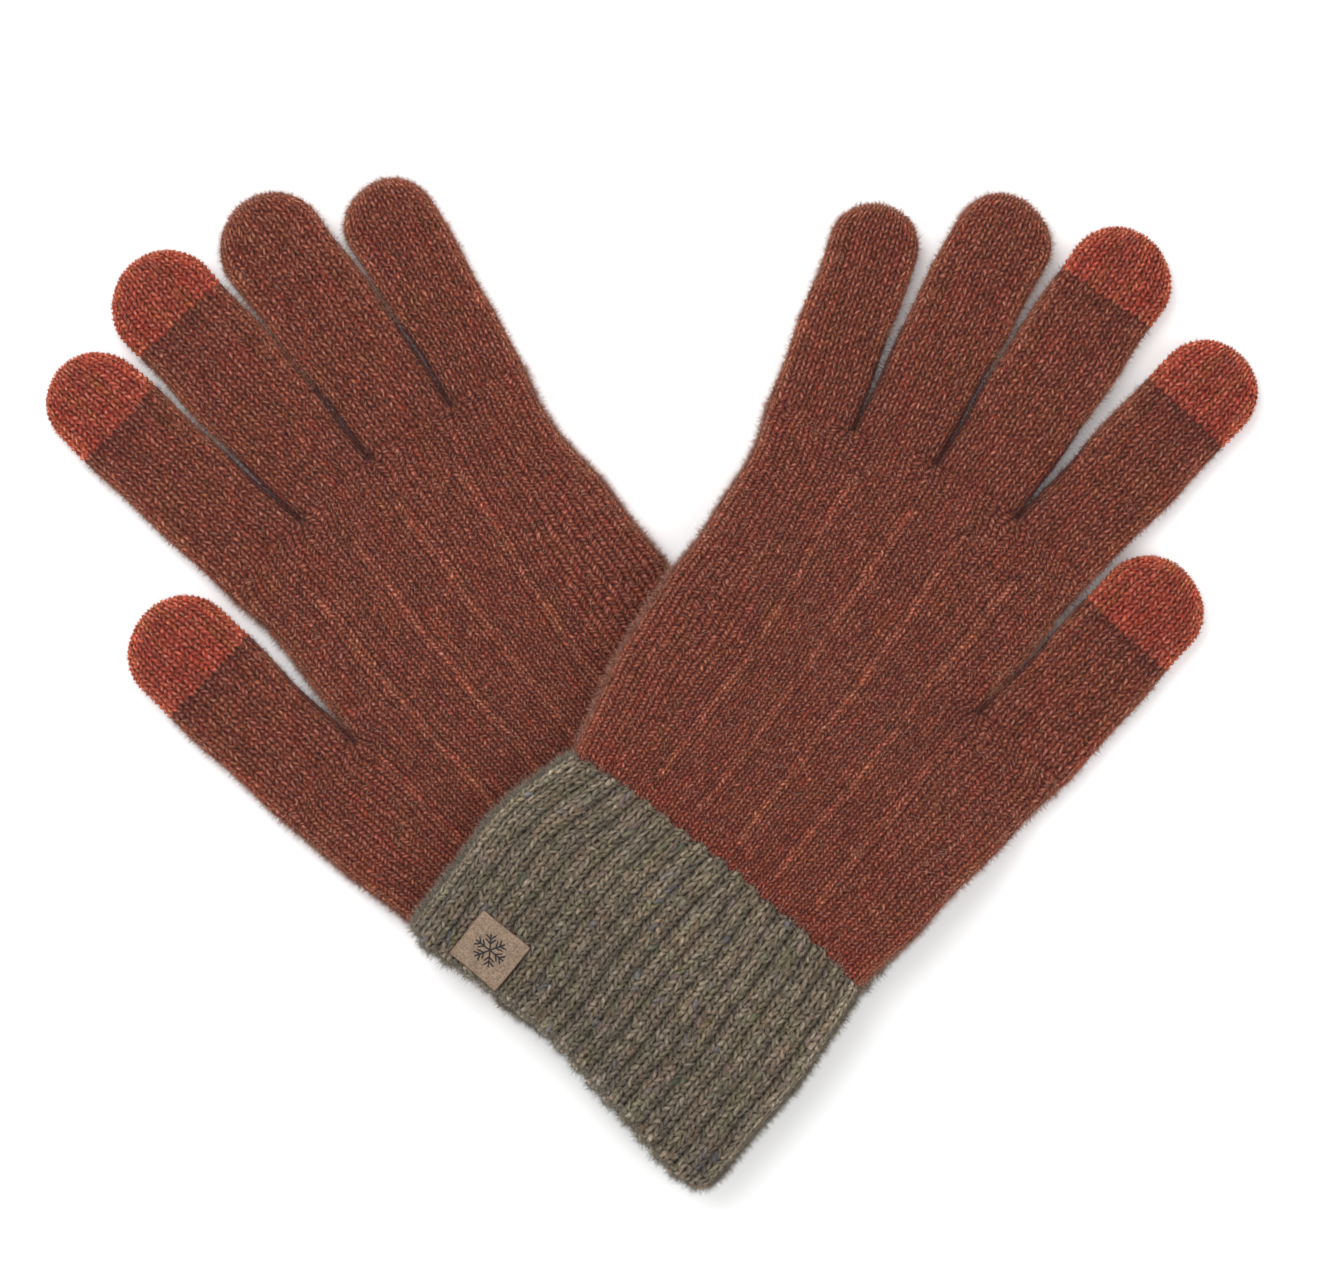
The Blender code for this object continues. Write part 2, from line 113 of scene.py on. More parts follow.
# Plan of the gloves
WRIST_HALF = 41.8
WRIST_SPLIT = (-27.0, -11.7, 5.1, 22.1)
CROTCH_RADIUS = 0.5
STUB = 2.0
TIP_ROUNDNESS = 0.94
SPREAD_LENGTH = 34.0
SLIT_HALF = 0.08             # half the slit between two fingers, just beyond their crotch
SLIT_SHADE = 1.0             # how far the shade of a slit reaches onto the fingers beside it
SHADE_REACH = 2.8            # how far the shade of a crotch reaches
TIP_SHADE_REACH = 3.0        # how far the wool is greyer before a touch tip
WARM_REACH = 5.0             # how far beyond the cuff the hand is redder
RIM_HIGHLIGHT_REACH = 3.2              # how far in from its sides and its mouth a cuff has a painted highlight
LIP_HIGHLIGHT_REACH = 3.0
TOUCH_LENGTH = {"thumb": 19.9, "index": 18.1, "middle": 15.7}
GLOVES = {
    "left": {
        "place": (14.2, -42.4),
        "heading": 50.5,
        "mirrored": False,
        "base": 8.9,
        "cuff_little_side": [(-45.6, -53.8), (-45.6, -12.0)],
        "cuff_thumb_side": [(43.2, -8.0), (44.8, -26.0), (44.9, -44.0), (44.4, -57.6)],
        "mouth_bow": 4.7,
        "roots": {
            "little": ((-58.6, 91.2), (-39.5, 98.4)),
            "ring": ((-39.5, 98.4), (-20.3, 104.4)),
            "middle": ((-20.3, 104.4), (1.7, 106.3)),
            "index": ((1.7, 106.3), (23.9, 104.5)),
            "thumb": ((23.1, 66.7), (48.8, 65.5)),
        },
        "tips": {
            "little": (-65.8, 142.4),
            "ring": (-43.2, 163.0),
            "middle": (-16.1, 174.3),
            "index": (17.6, 167.5),
            "thumb": (39.2, 121.2),
        },
        "widths": {"little": 20.3, "ring": 22.6, "middle": 24.2, "index": 22.7, "thumb": 24.0},
        "little_side": [(-46.3, 15.7), (-50.2, 34.8), (-51.6, 60.0), (-54.6, 81.0)],
        "slit_side": [(23.2, 85.0)],
        "thumb_side": [(47.5, 57.0), (44.9, 34.0), (43.5, 14.0)],
    },
    "right": {
        "place": (-4.9, -42.2),
        "heading": 135.0,
        "mirrored": True,
        "base": 0.0,
        "cuff_little_side": [(-44.0, -54.5), (-44.0, -12.0)],
        "cuff_thumb_side": [(39.2, -12.0), (38.4, -55.5)],
        "mouth_bow": 0.0,
        "roots": {
            "little": ((-64.6, 99.1), (-46.6, 104.1)),
            "ring": ((-46.6, 104.1), (-25.1, 108.4)),
            "middle": ((-25.1, 108.4), (-3.6, 109.9)),
            "index": ((-3.6, 109.9), (20.0, 108.9)),
            "thumb": ((23.0, 65.6), (47.8, 65.0)),
        },
        "tips": {
            "little": (-68.7, 152.7),
            "ring": (-45.2, 169.9),
            "middle": (-17.3, 178.1),
            "index": (10.7, 172.8),
            "thumb": (36.7, 119.6),
        },
        "widths": {"little": 21.1, "ring": 24.5, "middle": 24.8, "index": 22.6, "thumb": 25.0},
        "little_side": [(-49.8, 20.0), (-55.4, 42.0), (-58.3, 66.0), (-60.8, 90.0)],
        "slit_side": [(19.0, 95.0), (20.8, 79.0)],
        "thumb_side": [(47.0, 57.0), (44.2, 34.0), (42.8, 20.0)],
    },
}

# How the left glove comes down from the right one
RAMP_HEADING = 36.9
RAMP_START = 24.8
RAMP_LENGTH = 30.5
OVERHANG_REACH = 34.0        # an unsupported edge this far out would reach the surface
SUPPORT = (42.0, 54.0)       # half width and length of the right cuff, which holds the left glove up
HANG_END = (10.0, 20.0)      # the overhang ends this far before the ramp, over this length

LABEL_SIDE = 13.4
LABEL_THICK = 0.8
LABEL_CENTRE = (-28.4, -45.4)
LABEL_TURN = -1.1
LABEL_STRETCH = (1.05, 0.95)
LABEL_CORNER = 0.5
LABEL_RIM = 0.22             # width and drop of its rounded, darker edge
LABEL_SINK = 0.15            # how far it is pressed into the cuff
LABEL_CELLS = 110
MARK_ARM = 3.7               # the star's arms, their barbs, where the barbs start, and the printed line
MARK_BARB = 0.95
MARK_BARBS = (1.5, 2.5)
MARK_LINE = 0.26
MARK_DEPTH = 0.09

# Yarns: the colours of the gaps with their painted shade, the legs, and their tops with a painted highlight,
# tones that multiply them, and the bump in metres.
# A patch is a tone, its strength and its seed.
HAND_YARN = {
    "gap_shade": (0.030, 0.004, 0.003),
    "body": (0.139, 0.030, 0.016),
    "crest_highlight_and_streak": (0.460, 0.220, 0.158),
    "warm": (1.35, 0.80, 0.75),
    "shade_and_grey_tone": (0.50, 0.52, 0.62),
    "ridge": (1.56, 1.68, 1.60),
    "patches": (((1.12, 0.72, 0.72), 0.6, 1.0), ((1.05, 1.22, 0.80), 0.55, 2.0),
                ((0.92, 0.78, 1.05), 0.5, 3.0), ((1.2, 1.12, 1.1), 0.5, 4.0)),
    "relief": 0.00025,
}
TOUCH_YARN = {
    "gap_shade": (0.055, 0.006, 0.004),
    "body": (0.272, 0.042, 0.024),
    "crest_highlight_and_streak": (0.600, 0.270, 0.195),
    "warm": (1.0, 1.0, 1.0),
    "shade_and_grey_tone": (0.8, 0.8, 0.8),
    "ridge": (1.0, 1.0, 1.0),
    "patches": (((1.12, 0.75, 0.75), 0.9, 1.0), ((1.02, 1.25, 0.8), 0.9, 2.0), ((0.85, 0.9, 0.95), 0.9, 3.0)),
    "relief": 0.0003,
}

# Loose fibres, in millimetres: how many to a square millimetre, and their least and greatest length
CUFF_FIBRES = (1.7, (0.8, 3.0))
HAND_FIBRES = (1.3, (0.7, 2.6))
FINGER_FIBRES = (0.75, (0.6, 2.2))
TIP_FIBRES = (0.4, (0.4, 1.2))
FIBRE_TONES = {
    "hand": (("hand_fibres_pale", (0.520, 0.290, 0.210)), ("hand_fibres", (0.340, 0.125, 0.070)),
             ("hand_fibres_dark", (0.130, 0.035, 0.030))),
    "touch": (("touch_fibres", (0.420, 0.100, 0.060)), ("touch_fibres_dark", (0.200, 0.040, 0.025))),
    "cuff": (("cuff_fibres_pale", (0.360, 0.325, 0.260)), ("cuff_fibres", (0.190, 0.160, 0.115)),
             ("cuff_fibres_dark", (0.090, 0.075, 0.060))),
}
FIBRE_HALF = (0.022, 0.044)  # half their thickness
FIBRE_TILT = (0.3, 1.35)     # their angle from straight out, in radians
FIBRE_CURL = 0.45            # their greatest bend, as a share of their length
FIBRE_DEPTH = 0.06           # how deep in the yarn they start
FIBRE_LOWEST = 0.02
FIBRE_EDGE = 15.0            # how much denser they are where the surface turns away from straight up

# Spans of the wrist and finger joints, in millimetres beyond the pivot
WRIST_BEND = (3.0, 28.0)
FINGER_BEND = (0.0, 13.0)

# Stage and camera, in metres. A lamp has a name, a place, a width and a power.
FLOOR_HEIGHT = -0.0002
FLOOR_GLOW = 0.09
WORLD_STRENGTH = 0.82
LAMPS = (("key", (-0.45, 0.6, 1.0), 1.1, 10.5), ("fill", (0.7, -0.4, 0.9), 0.9, 3.0))
VIEW_CENTRE = (0.0024, 0.0104)
VIEW_WIDTH = 0.3027
CAMERA_HEIGHT = 1.6


# Curves and distances

def smooth(share):
    """0 to 1 with level ends."""
    share = np.clip(share, 0.0, 1.0)
    return share * share * (3.0 - 2.0 * share)


def quarter(share):
    """Height of a quarter circle of radius 1, from its foot at 0 to its top at 1."""
    share = np.clip(share, 0.0, 1.0)
    return np.sqrt(share * (2.0 - share))


def flowing(points, count):
    """'count' + 1 points, evenly spaced along a smooth curve through the given points."""
    points = np.array(points, float)
    knots = np.r_[0.0, np.cumsum(np.linalg.norm(np.diff(points, axis=0), axis=1))]
    slopes = np.gradient(points, knots, axis=0)
    dense = np.linspace(0.0, knots[-1], 500)
    piece = np.clip(np.searchsorted(knots, dense, side="right") - 1, 0, len(knots) - 2)
    step = (knots[piece + 1] - knots[piece])[:, None]
    u = (dense - knots[piece])[:, None] / step
    curve = (2 * u**3 - 3 * u**2 + 1) * points[piece] + (u**3 - 2 * u**2 + u) * step * slopes[piece]
    curve += (3 * u**2 - 2 * u**3) * points[piece + 1] + (u**3 - u**2) * step * slopes[piece + 1]
    length = np.r_[0.0, np.cumsum(np.linalg.norm(np.diff(curve, axis=0), axis=1))]
    at = np.linspace(0.0, length[-1], count + 1)
    return np.stack([np.interp(at, length, curve[:, 0]), np.interp(at, length, curve[:, 1])], axis=1)


def across_tube(share, width, left, right):
    """Plan distance from the left edge, at a share of the way over a tube with rounded sides."""
    left = np.maximum(left, 1e-6)
    right = np.maximum(right, 1e-6)
    left_arc = left * math.pi / 2
    right_arc = right * math.pi / 2
    total = width - left - right + left_arc + right_arc
    along = share * total
    back = total - along
    x = left + along - left_arc
    x = np.where(along < left_arc, left * (1.0 - np.cos(np.minimum(along / left, math.pi / 2))), x)
    near_right = width - right * (1.0 - np.cos(np.minimum(np.maximum(back, 0.0) / right, math.pi / 2)))
    return np.where(back < right_arc, near_right, x)


def upper_height(edge_distance):
    """Height over the middle of a tube's thickness, at a distance from its nearest edge."""
    crown = 1.0 - (1.0 - np.clip(edge_distance / CROWN_REACH, 0.0, 1.0)) ** 2
    return SIDE_RADIUS * quarter(edge_distance / SIDE_RADIUS) + CROWN * crown


def between_rows(values, at):
    """What the rows of a table hold at row numbers that aren't whole."""
    low = np.floor(at).astype(int)
    high = np.minimum(low + 1, len(values) - 1)
    part = (at - low).reshape(at.shape + (1,) * (values.ndim - 1))
    return values[low] * (1.0 - part) + values[high] * part


def without_repeats(ring):
    """The corners of a face, each only once where neighbours are the same point."""
    return [corner for number, corner in enumerate(ring) if corner != ring[number - 1]]


def chevron(leg):
    """How far a row is pushed on at a place across the legs: its rows run as Vs, two legs to a V."""
    return 1.0 - np.abs(leg % 2.0 - 1.0)


def stitch(leg, course, beading=BEADING):
    """Relief of plain knitting, 0 to 1: legs side by side, each a row of uneven beads."""
    across = np.sqrt(np.abs(np.sin(math.pi * leg)))
    beads = 1.0 - beading + beading * np.cos(2.0 * math.pi * course)
    random = (np.sin(np.floor(leg) * HASH[0] + np.floor(course + 0.5) * HASH[1]) * HASH[2]) % 1.0
    return across * beads * (1.0 + UNEVENNESS * (random - 0.5))


def joined(share):
    """How much of the relief stays, from a row that joins another piece, 0, to one that is clear of it, 1."""
    return LEAST_RELIEF + (1.0 - LEAST_RELIEF) * share


def right_of(direction):
    return np.array((direction[1], -direction[0]))


def sway(x, y):
    """A slight waver of the knitting in plan, so that no edge is dead straight."""
    dx = 0.22 * np.sin(x / 5.3 + y / 9.1 + 1.0) + 0.16 * np.sin(y / 3.7 - x / 11.0)
    dy = 0.18 * np.sin(x / 4.1 - y / 8.3 + 2.0)
    return x + dx, y + dy


# Meshes

class Knitting:
    """Collects grids of stitches into one closed mesh, in a glove's plan."""

    def __init__(self):
        self.points = []
        self.stitches = []
        self.tints = []
        self.relief = []
        self.quads = []
        self.caps = []
        self.count = 0

    def grid(self, points, stitches, tints, relief, flip=False):
        """Add rows and columns of points, and return their numbers."""
        rows, columns = points.shape[:2]
        numbers = self.count + np.arange(rows * columns).reshape(rows, columns)
        self.count += rows * columns
        self.points.append(points.reshape(-1, 3))
        self.stitches.append(stitches.reshape(-1, 3))
        self.tints.append(tints.reshape(-1, 3))
        self.relief.append(relief.reshape(-1))
        a, b = numbers[:-1, :-1], numbers[:-1, 1:]
        c, d = numbers[1:, 1:], numbers[1:, :-1]
        order = (a, d, c, b) if flip else (a, b, c, d)
        self.quads.append(np.stack([n.ravel() for n in order], axis=1))
        return numbers

    def cap(self, upper, lower, flip=False):
        """Close a tube's end between its upper row and its lower row, whose ends are the same points."""
        ratio = (len(upper) - 1) // (len(lower) - 1)
        for number in range(len(lower) - 1):
            top = upper[number * ratio:(number + 1) * ratio + 1]
            ring = [*top, lower[number + 1], lower[number]]
            self.caps.append(ring[::-1] if flip else ring)

    def finish(self, place):
        """Weld the grids and raise the stitches, and return points, quads, caps, data and normals."""
        points = np.concatenate(self.points)
        stitches = np.concatenate(self.stitches)
        tints = np.concatenate(self.tints)
        relief = np.concatenate(self.relief)
        keys = np.round(points * 1000.0).astype(np.int64)
        _, first, weld = np.unique(keys, axis=0, return_index=True, return_inverse=True)
        weld = weld.ravel()
        points, stitches, tints, relief = points[first], stitches[first], tints[first], relief[first]
        quads = weld[np.concatenate(self.quads)]
        world = place(points)
        turn = -1 if place.mirrored else 1
        quads = quads[:, ::turn]
        normals = vertex_normals(world, quads)
        world = world + normals * relief[:, None]
        caps = [without_repeats(weld[np.array(ring)][::turn]) for ring in self.caps]
        caps = [ring for ring in caps if len(ring) > 2]
        return world, quads, caps, {"knit": stitches, "tint": tints}, normals


def vertex_normals(points, quads):
    """Unit normals, averaged at the vertices."""
    diagonal = points[quads[:, 2]] - points[quads[:, 0]]
    other = points[quads[:, 3]] - points[quads[:, 1]]
    face = np.cross(diagonal, other)
    total = np.zeros_like(points)
    for corner in range(4):
        for axis in range(3):
            total[:, axis] += np.bincount(quads[:, corner], face[:, axis], len(points))
    return total / np.maximum(np.linalg.norm(total, axis=1), 1e-12)[:, None]


class Placing:
    """Takes plan points of one glove to the world, in millimetres, and lays them down."""

    def __init__(self, side):
        self.glove = GLOVES[side]
        self.mirrored = self.glove["mirrored"]
        turn = math.radians(self.glove["heading"] - 90.0)
        self.cos, self.sin = math.cos(turn), math.sin(turn)

    def plan(self, x, y):
        x = -x if self.mirrored else x
        place = self.glove["place"]
        return place[0] + x * self.cos - y * self.sin, place[1] + x * self.sin + y * self.cos

    def base(self, x, y):
        """Height of what lies under a point of this glove."""
        if not self.glove["base"]:
            return np.zeros_like(x)
        heading = math.radians(RAMP_HEADING)
        along = x * math.cos(heading) + y * math.sin(heading)
        share = smooth((along - RAMP_START) / RAMP_LENGTH)
        under = GLOVES["right"]
        turn = math.radians(under["heading"] - 90.0)
        dx, dy = x - under["place"][0], y - under["place"][1]
        across = np.abs(dx * math.cos(turn) + dy * math.sin(turn))
        down = -dx * math.sin(turn) + dy * math.cos(turn)
        outside = np.hypot(np.maximum(across - SUPPORT[0], 0.0), np.maximum(-SUPPORT[1] - down, 0.0))
        hang = smooth(outside / OVERHANG_REACH) * smooth((RAMP_START - HANG_END[0] - along) / HANG_END[1])
        return self.glove["base"] * (1.0 - share) * (1.0 - hang)

    def __call__(self, points):
        x, y = sway(points[:, 0], points[:, 1])
        x, y = self.plan(x, y)
        return np.stack([x, y, points[:, 2] + self.base(x, y)], axis=1)


# The hand

class Finger:
    """The plan of one finger."""

    def __init__(self, glove, name):
        self.name = name
        self.wales = FINGER_WALES[name]
        self.roots = np.array(glove["roots"][name])
        self.tip = np.array(glove["tips"][name])
        self.middle = self.roots.mean(axis=0)
        along = self.tip - self.middle
        self.length = math.hypot(*along)
        self.along = along / self.length
        self.across = right_of(self.along)
        offsets = self.roots - self.middle
        self.root_side = offsets @ self.across
        self.root_reach = offsets @ self.along
        self.root = self.root_reach.max() + STUB
        self.full_width = glove["widths"][name]
        self.bend = self.length - self.full_width / 2 * TIP_ROUNDNESS
        self.crotched = (name != "little", name not in ("index", "thumb"))

    def sides(self, distance):
        """Where the two sides are, at distances along the axis."""
        share = smooth((distance - self.root) / SPREAD_LENGTH)
        opening = smooth((distance - self.root_reach.mean()) / (2.0 * STUB))
        slit = opening * (SLIT_HALF + (CROTCH_RADIUS - SLIT_HALF) * share)
        left = self.root_side[0] + slit * self.crotched[0]
        right = self.root_side[1] - slit * self.crotched[1]
        centre = (left + right) / 2 * (1.0 - share)
        half = ((right - left) * (1.0 - share) + self.full_width * share) / 2
        return centre - half, centre + half

    def plan(self, distance, side):
        return (self.middle[0] + self.along[0] * distance + self.across[0] * side,
                self.middle[1] + self.along[1] * distance + self.across[1] * side)


def boundary_curves(glove, rows, thumb_rows):
    """The six lines that part the hand into one strip for each finger, with a point for each row."""
    roots = glove["roots"]
    narrow = WRIST_HALF - TUCK_NARROWING
    curves = [flowing([(-narrow, -TUCK), *glove["little_side"], roots["little"][0]], rows)]
    for number, name in enumerate(("ring", "middle", "index")):
        crotch = np.array(roots[name][0])
        start = np.array((WRIST_SPLIT[number], -TUCK))
        lean = (crotch - start) * np.array((0.28, 0.45))
        curves.append(flowing([start, start + lean, crotch], rows))
    lower = flowing([(WRIST_SPLIT[3], -TUCK), roots["thumb"][0]], thumb_rows)
    upper = flowing([roots["thumb"][0], *reversed(glove["slit_side"]), roots["index"][1]], rows - thumb_rows)
    curves.append(np.concatenate([lower, upper[1:]]))
    outer = [(narrow, -TUCK), *reversed(glove["thumb_side"]), roots["thumb"][1]]
    curves.append(flowing(outer, thumb_rows))
    return curves


def make_hand(side):
    """The hand: five strips side by side, each with an upper and a lower side, closed at wrist and roots."""
    glove = GLOVES[side]
    length = glove["roots"]["middle"][0][1] + TUCK
    rows = round(length / COURSE * HAND_ROWS)
    thumb_rows = round((glove["roots"]["thumb"][0][1] + TUCK) / length * rows)
    curves = boundary_curves(glove, rows, thumb_rows)
    crotches = [np.array(glove["roots"][name][0]) for name in ("ring", "middle", "index", "thumb")]
    knitting = Knitting()
    wale_offset = 0
    for strip, name in enumerate(FINGERS):
        count = thumb_rows if name == "thumb" else rows
        left, right = curves[strip][:count + 1], curves[strip + 1][:count + 1]
        wales = STRIP_WALES[name]
        row = np.arange(count + 1)
        # how free each edge is, row by row: its rounding grows where a crotch is near
        radii = []
        for edge, curve in ((strip, left), (strip + 1, right)):
            if edge in (0, 5):
                radii.append(np.full(count + 1, SIDE_RADIUS))
                continue
            reach = np.linalg.norm(curve - crotches[edge - 1], axis=1)
            radius = SIDE_RADIUS * np.clip(1.0 - reach / SIDE_RADIUS, 0.0, 1.0)
            if edge == 4 and name == "index":
                radius[thumb_rows:] = SIDE_RADIUS
            radii.append(radius)
        root_rows = ROOT_LENGTH * HAND_ROWS / COURSE
        at_root = smooth((row - count + root_rows) / root_rows)
        for lower in (False, True):
            per_wale = WALE_COLUMNS // 2 if lower else WALE_COLUMNS
            wale = np.arange(wales * per_wale + 1) / per_wale
            plain = wale / wales
            extra = (FINGER_WALES[name] - wales) / 2
            rooted = (wale + extra - 0.5) / FINGER_WALES[name]
            head = wale * (ROOT_STRETCH - 0.5 + extra) / ROOT_STRETCH / FINGER_WALES[name]
            tail = (wales - wale) * (ROOT_STRETCH + 0.5 + extra) / ROOT_STRETCH / FINGER_WALES[name]
            rooted = np.where(wale < ROOT_STRETCH, head, rooted)
            rooted = np.where(wale > wales - ROOT_STRETCH, 1.0 - tail, rooted)
            share = plain[None] * (1.0 - at_root[:, None]) + rooted[None] * at_root[:, None]
            fade = smooth(row / HAND_ROWS)[:, None] * smooth((count - row) / HAND_ROWS)[:, None]
            push = chevron(wale + wale_offset)[None] * CHEVRON * HAND_ROWS * fade
            at = np.clip(row[:, None] + push, 0.0, count)
            start, end = between_rows(left, at), between_rows(right, at)
            width = np.hypot(*np.moveaxis(end - start, -1, 0))
            over = across_tube(share, width, between_rows(radii[0], at), between_rows(radii[1], at))
            x, y = np.moveaxis(start + (end - start) * over[..., None] / width[..., None], -1, 0)
            edge = np.full(x.shape, FAR)
            if strip == 0:
                edge = np.minimum(edge, over)
            if strip == 4:
                edge = np.minimum(edge, width - over)
            crotch_distance = np.full(x.shape, FAR)
            for crotch in crotches:
                crotch_distance = np.minimum(crotch_distance, np.hypot(x - crotch[0], y - crotch[1]))
            if name == "index":
                slit = np.where(at >= thumb_rows, width - over, FAR)
                edge = np.minimum(edge, slit)
            edge = np.minimum(edge, crotch_distance)
            grown = smooth((y + TUCK) / WRIST_BLEND)
            size = (TUCK_RADIUS + (SIDE_RADIUS - TUCK_RADIUS) * grown) / SIDE_RADIUS
            middle = LIFT + CUFF_RADIUS + (SIDE_RADIUS - CUFF_RADIUS) * grown
            rounded = SIDE_RADIUS * quarter(edge / SIDE_RADIUS)
            if lower:
                z = middle - size * rounded
            else:
                z = middle + size * rounded + (upper_height(edge) - rounded) * (0.3 + 0.7 * grown)
            course = np.broadcast_to(row[:, None] / HAND_ROWS, x.shape)
            wales_here = np.broadcast_to(wale[None] + wale_offset, x.shape)
            ridge = np.zeros_like(x)
            if not lower:
                in_field = smooth((at / count - RIDGE_START[0]) / RIDGE_START[1])
                in_field = in_field * smooth((RIDGE_END[0] - at / count) / RIDGE_END[1])
                for line in RIDGE_WALES:
                    near = np.clip(1.0 - np.abs(wales_here - line) / RIDGE_HALF, 0.0, 1.0)
                    ridge = np.maximum(ridge, near * in_field)
                puckers = GATHER[0] * np.sin(wales_here * GATHER[1] + course) - GATHER[2]
                gather = np.exp(-crotch_distance / GATHER_REACH) * puckers
                z = z + gather * np.clip(edge / SIDE_RADIUS, 0.0, 1.0) * smooth(crotch_distance / 1.5)
            relief = HAND_RELIEF * stitch(wales_here, course) * joined(fade)
            relief = relief + RIDGE_RELIEF * smooth(2.0 * ridge - 0.9)
            if lower:
                relief = relief * np.clip(1.0 - edge / SIDE_RADIUS, 0.0, 1.0)
            warmth = np.exp(-np.maximum(y, 0.0) / WARM_REACH)
            # where the edges get a painted highlight
            rim = 1.0 - np.clip(edge / SIDE_RADIUS, 0.0, 1.0)
            # the tint's second value is painted shade round the crotches
            tint = np.stack([warmth, np.exp(-crotch_distance / SHADE_REACH), rim], axis=-1)
            points = np.stack([x, y, z], axis=-1)
            knit = np.stack([wales_here, course, ridge], axis=-1)
            numbers = knitting.grid(points, knit, tint, relief, lower)
            if lower:
                knitting.cap(list(upper_numbers[-1]), list(numbers[-1]))
                knitting.cap(list(upper_numbers[0]), list(numbers[0]), flip=True)
            upper_numbers = numbers
        wale_offset += wales
    return knitting.finish(Placing(side))


def make_finger(side, name):
    """A finger as one grid from its root to its end, cut in two where its touch tip begins."""
    glove = GLOVES[side]
    place = Placing(side)
    finger = Finger(glove, name)
    half = finger.full_width / 2
    depth = half * TIP_ROUNDNESS
    spacing = FINGER_COURSE / FINGER_ROWS
    straight_rows = round((finger.bend - finger.root_reach.mean()) / spacing)
    end_length = depth - SIDE_RADIUS + SIDE_RADIUS * math.pi / 2
    end_rows = round(end_length / spacing)
    total = straight_rows + end_rows
    straight_rows += -total % FINGER_ROWS
    total = straight_rows + end_rows
    change = total
    change_distance = finger.length
    if name in TOUCH_LENGTH:
        change_distance = finger.length - TOUCH_LENGTH[name]
        change = round((change_distance - finger.root_reach.mean()) / spacing)
    row = np.arange(total + 1)
    sheets = []
    for lower in (False, True):
        per_wale = WALE_COLUMNS // 2 if lower else WALE_COLUMNS
        column = np.arange(finger.wales * per_wale + 1) / per_wale
        wale = column + 0.5
        share = (column / finger.wales)[None]
        fade = smooth(row / FINGER_ROWS) * smooth((total - row) / (1.5 * FINGER_ROWS))
        at = np.clip(row[:, None] + chevron(wale)[None] * CHEVRON * FINGER_ROWS * fade[:, None], 0.0, total)
        run = np.clip(at / straight_rows, 0.0, 1.0)
        start = finger.root_reach[0] + (finger.root_reach[1] - finger.root_reach[0]) * share
        distance = start + (finger.bend - start) * run
        left, right = finger.sides(distance)
        width = right - left
        over = across_tube(np.broadcast_to(share, at.shape), width, SIDE_RADIUS, SIDE_RADIUS)
        edge = np.minimum(over, width - over)
        position = left + over
        # the rounded end: the rows and columns of a square, pressed into half an ellipse
        beyond = np.clip((at - straight_rows) / end_rows, 0.0, 1.0)
        to_end = across_tube(beyond, depth, 0.0, SIDE_RADIUS) / depth
        to_end = np.where(beyond > 0.0, to_end, 0.0)
        to_side = np.clip(2.0 * over / width - 1.0, -1.0, 1.0)
        end_x = to_side * np.sqrt(1.0 - to_end**2 / 2) * half
        end_y = to_end * np.sqrt(1.0 - to_side**2 / 2) * depth
        round_share = np.hypot(end_x / half, end_y / depth)
        reach = np.hypot(end_x, end_y) / np.maximum(round_share, 1e-6)
        in_end = at > straight_rows
        position = np.where(in_end, end_x, position)
        distance = np.where(in_end, finger.bend + end_y, distance)
        edge = np.where(in_end, np.maximum((1.0 - round_share) * reach, 0.0), edge)
        edge = np.where((beyond >= 1.0) | (share <= 0.0) | (share >= 1.0), 0.0, edge)
        middle = LIFT + SIDE_RADIUS
        z = middle - SIDE_RADIUS * quarter(edge / SIDE_RADIUS) if lower else middle + upper_height(edge)
        x, y = finger.plan(distance, position)
        wales_here = np.broadcast_to(wale[None], x.shape)
        course = np.broadcast_to(row[:, None] / FINGER_ROWS, x.shape)
        touch = (row[:, None] >= change).astype(float)
        amplitude = FINGER_RELIEF + (TIP_RELIEF - FINGER_RELIEF) * touch
        beads = 0.2 + 0.25 * touch
        relief = amplitude * stitch(wales_here, course, beads) * joined(smooth(row / 4.0))[:, None]
        if lower:
            relief = relief * np.clip(1.0 - edge / SIDE_RADIUS, 0.0, 1.0)
        crotch = np.full_like(x, FAR)
        for point, open_side in zip(finger.roots, finger.crotched):
            if open_side:
                crotch = np.minimum(crotch, np.hypot(x - point[0], y - point[1]))
        # painted shade round the crotches and in the slits between the fingers, and a greyer band before a
        # touch tip
        before_tip = np.exp(-np.abs(change_distance - distance) / TIP_SHADE_REACH) * (1.0 - touch)
        before_tip = 0.8 * before_tip * (name in TOUCH_LENGTH)
        in_slit = np.exp(-over / SLIT_SHADE) * finger.crotched[0]
        in_slit = in_slit + np.exp(-(width - over) / SLIT_SHADE) * finger.crotched[1]
        in_slit = in_slit * (1.0 - smooth((distance - finger.root) / SPREAD_LENGTH))
        shade_greyness = np.maximum(np.maximum(np.exp(-crotch / SHADE_REACH), in_slit), before_tip)
        # where the edges get a painted highlight, kept out of the slits
        rim = (1.0 - np.clip(edge / SIDE_RADIUS, 0.0, 1.0)) * (1.0 - np.clip(2.0 * in_slit, 0.0, 1.0))
        tint = np.stack([np.zeros_like(x), shade_greyness, rim], axis=-1)
        knit = np.stack([wales_here, course, np.zeros_like(x)], axis=-1)
        sheets.append((np.stack([x, y, z], axis=-1), knit, tint, relief))
    parts = []
    for first, last in ((0, change), (change, total)):
        if first == last:
            continue
        knitting = Knitting()
        numbers = []
        for lower, sheet in enumerate(sheets):
            numbers.append(knitting.grid(*(values[first:last + 1] for values in sheet), flip=bool(lower)))
        knitting.cap(list(numbers[0][0]), list(numbers[1][0]), flip=True)
        knitting.cap(list(numbers[0][-1]), list(numbers[1][-1]))
        parts.append(knitting.finish(place))
    return parts


# The cuff

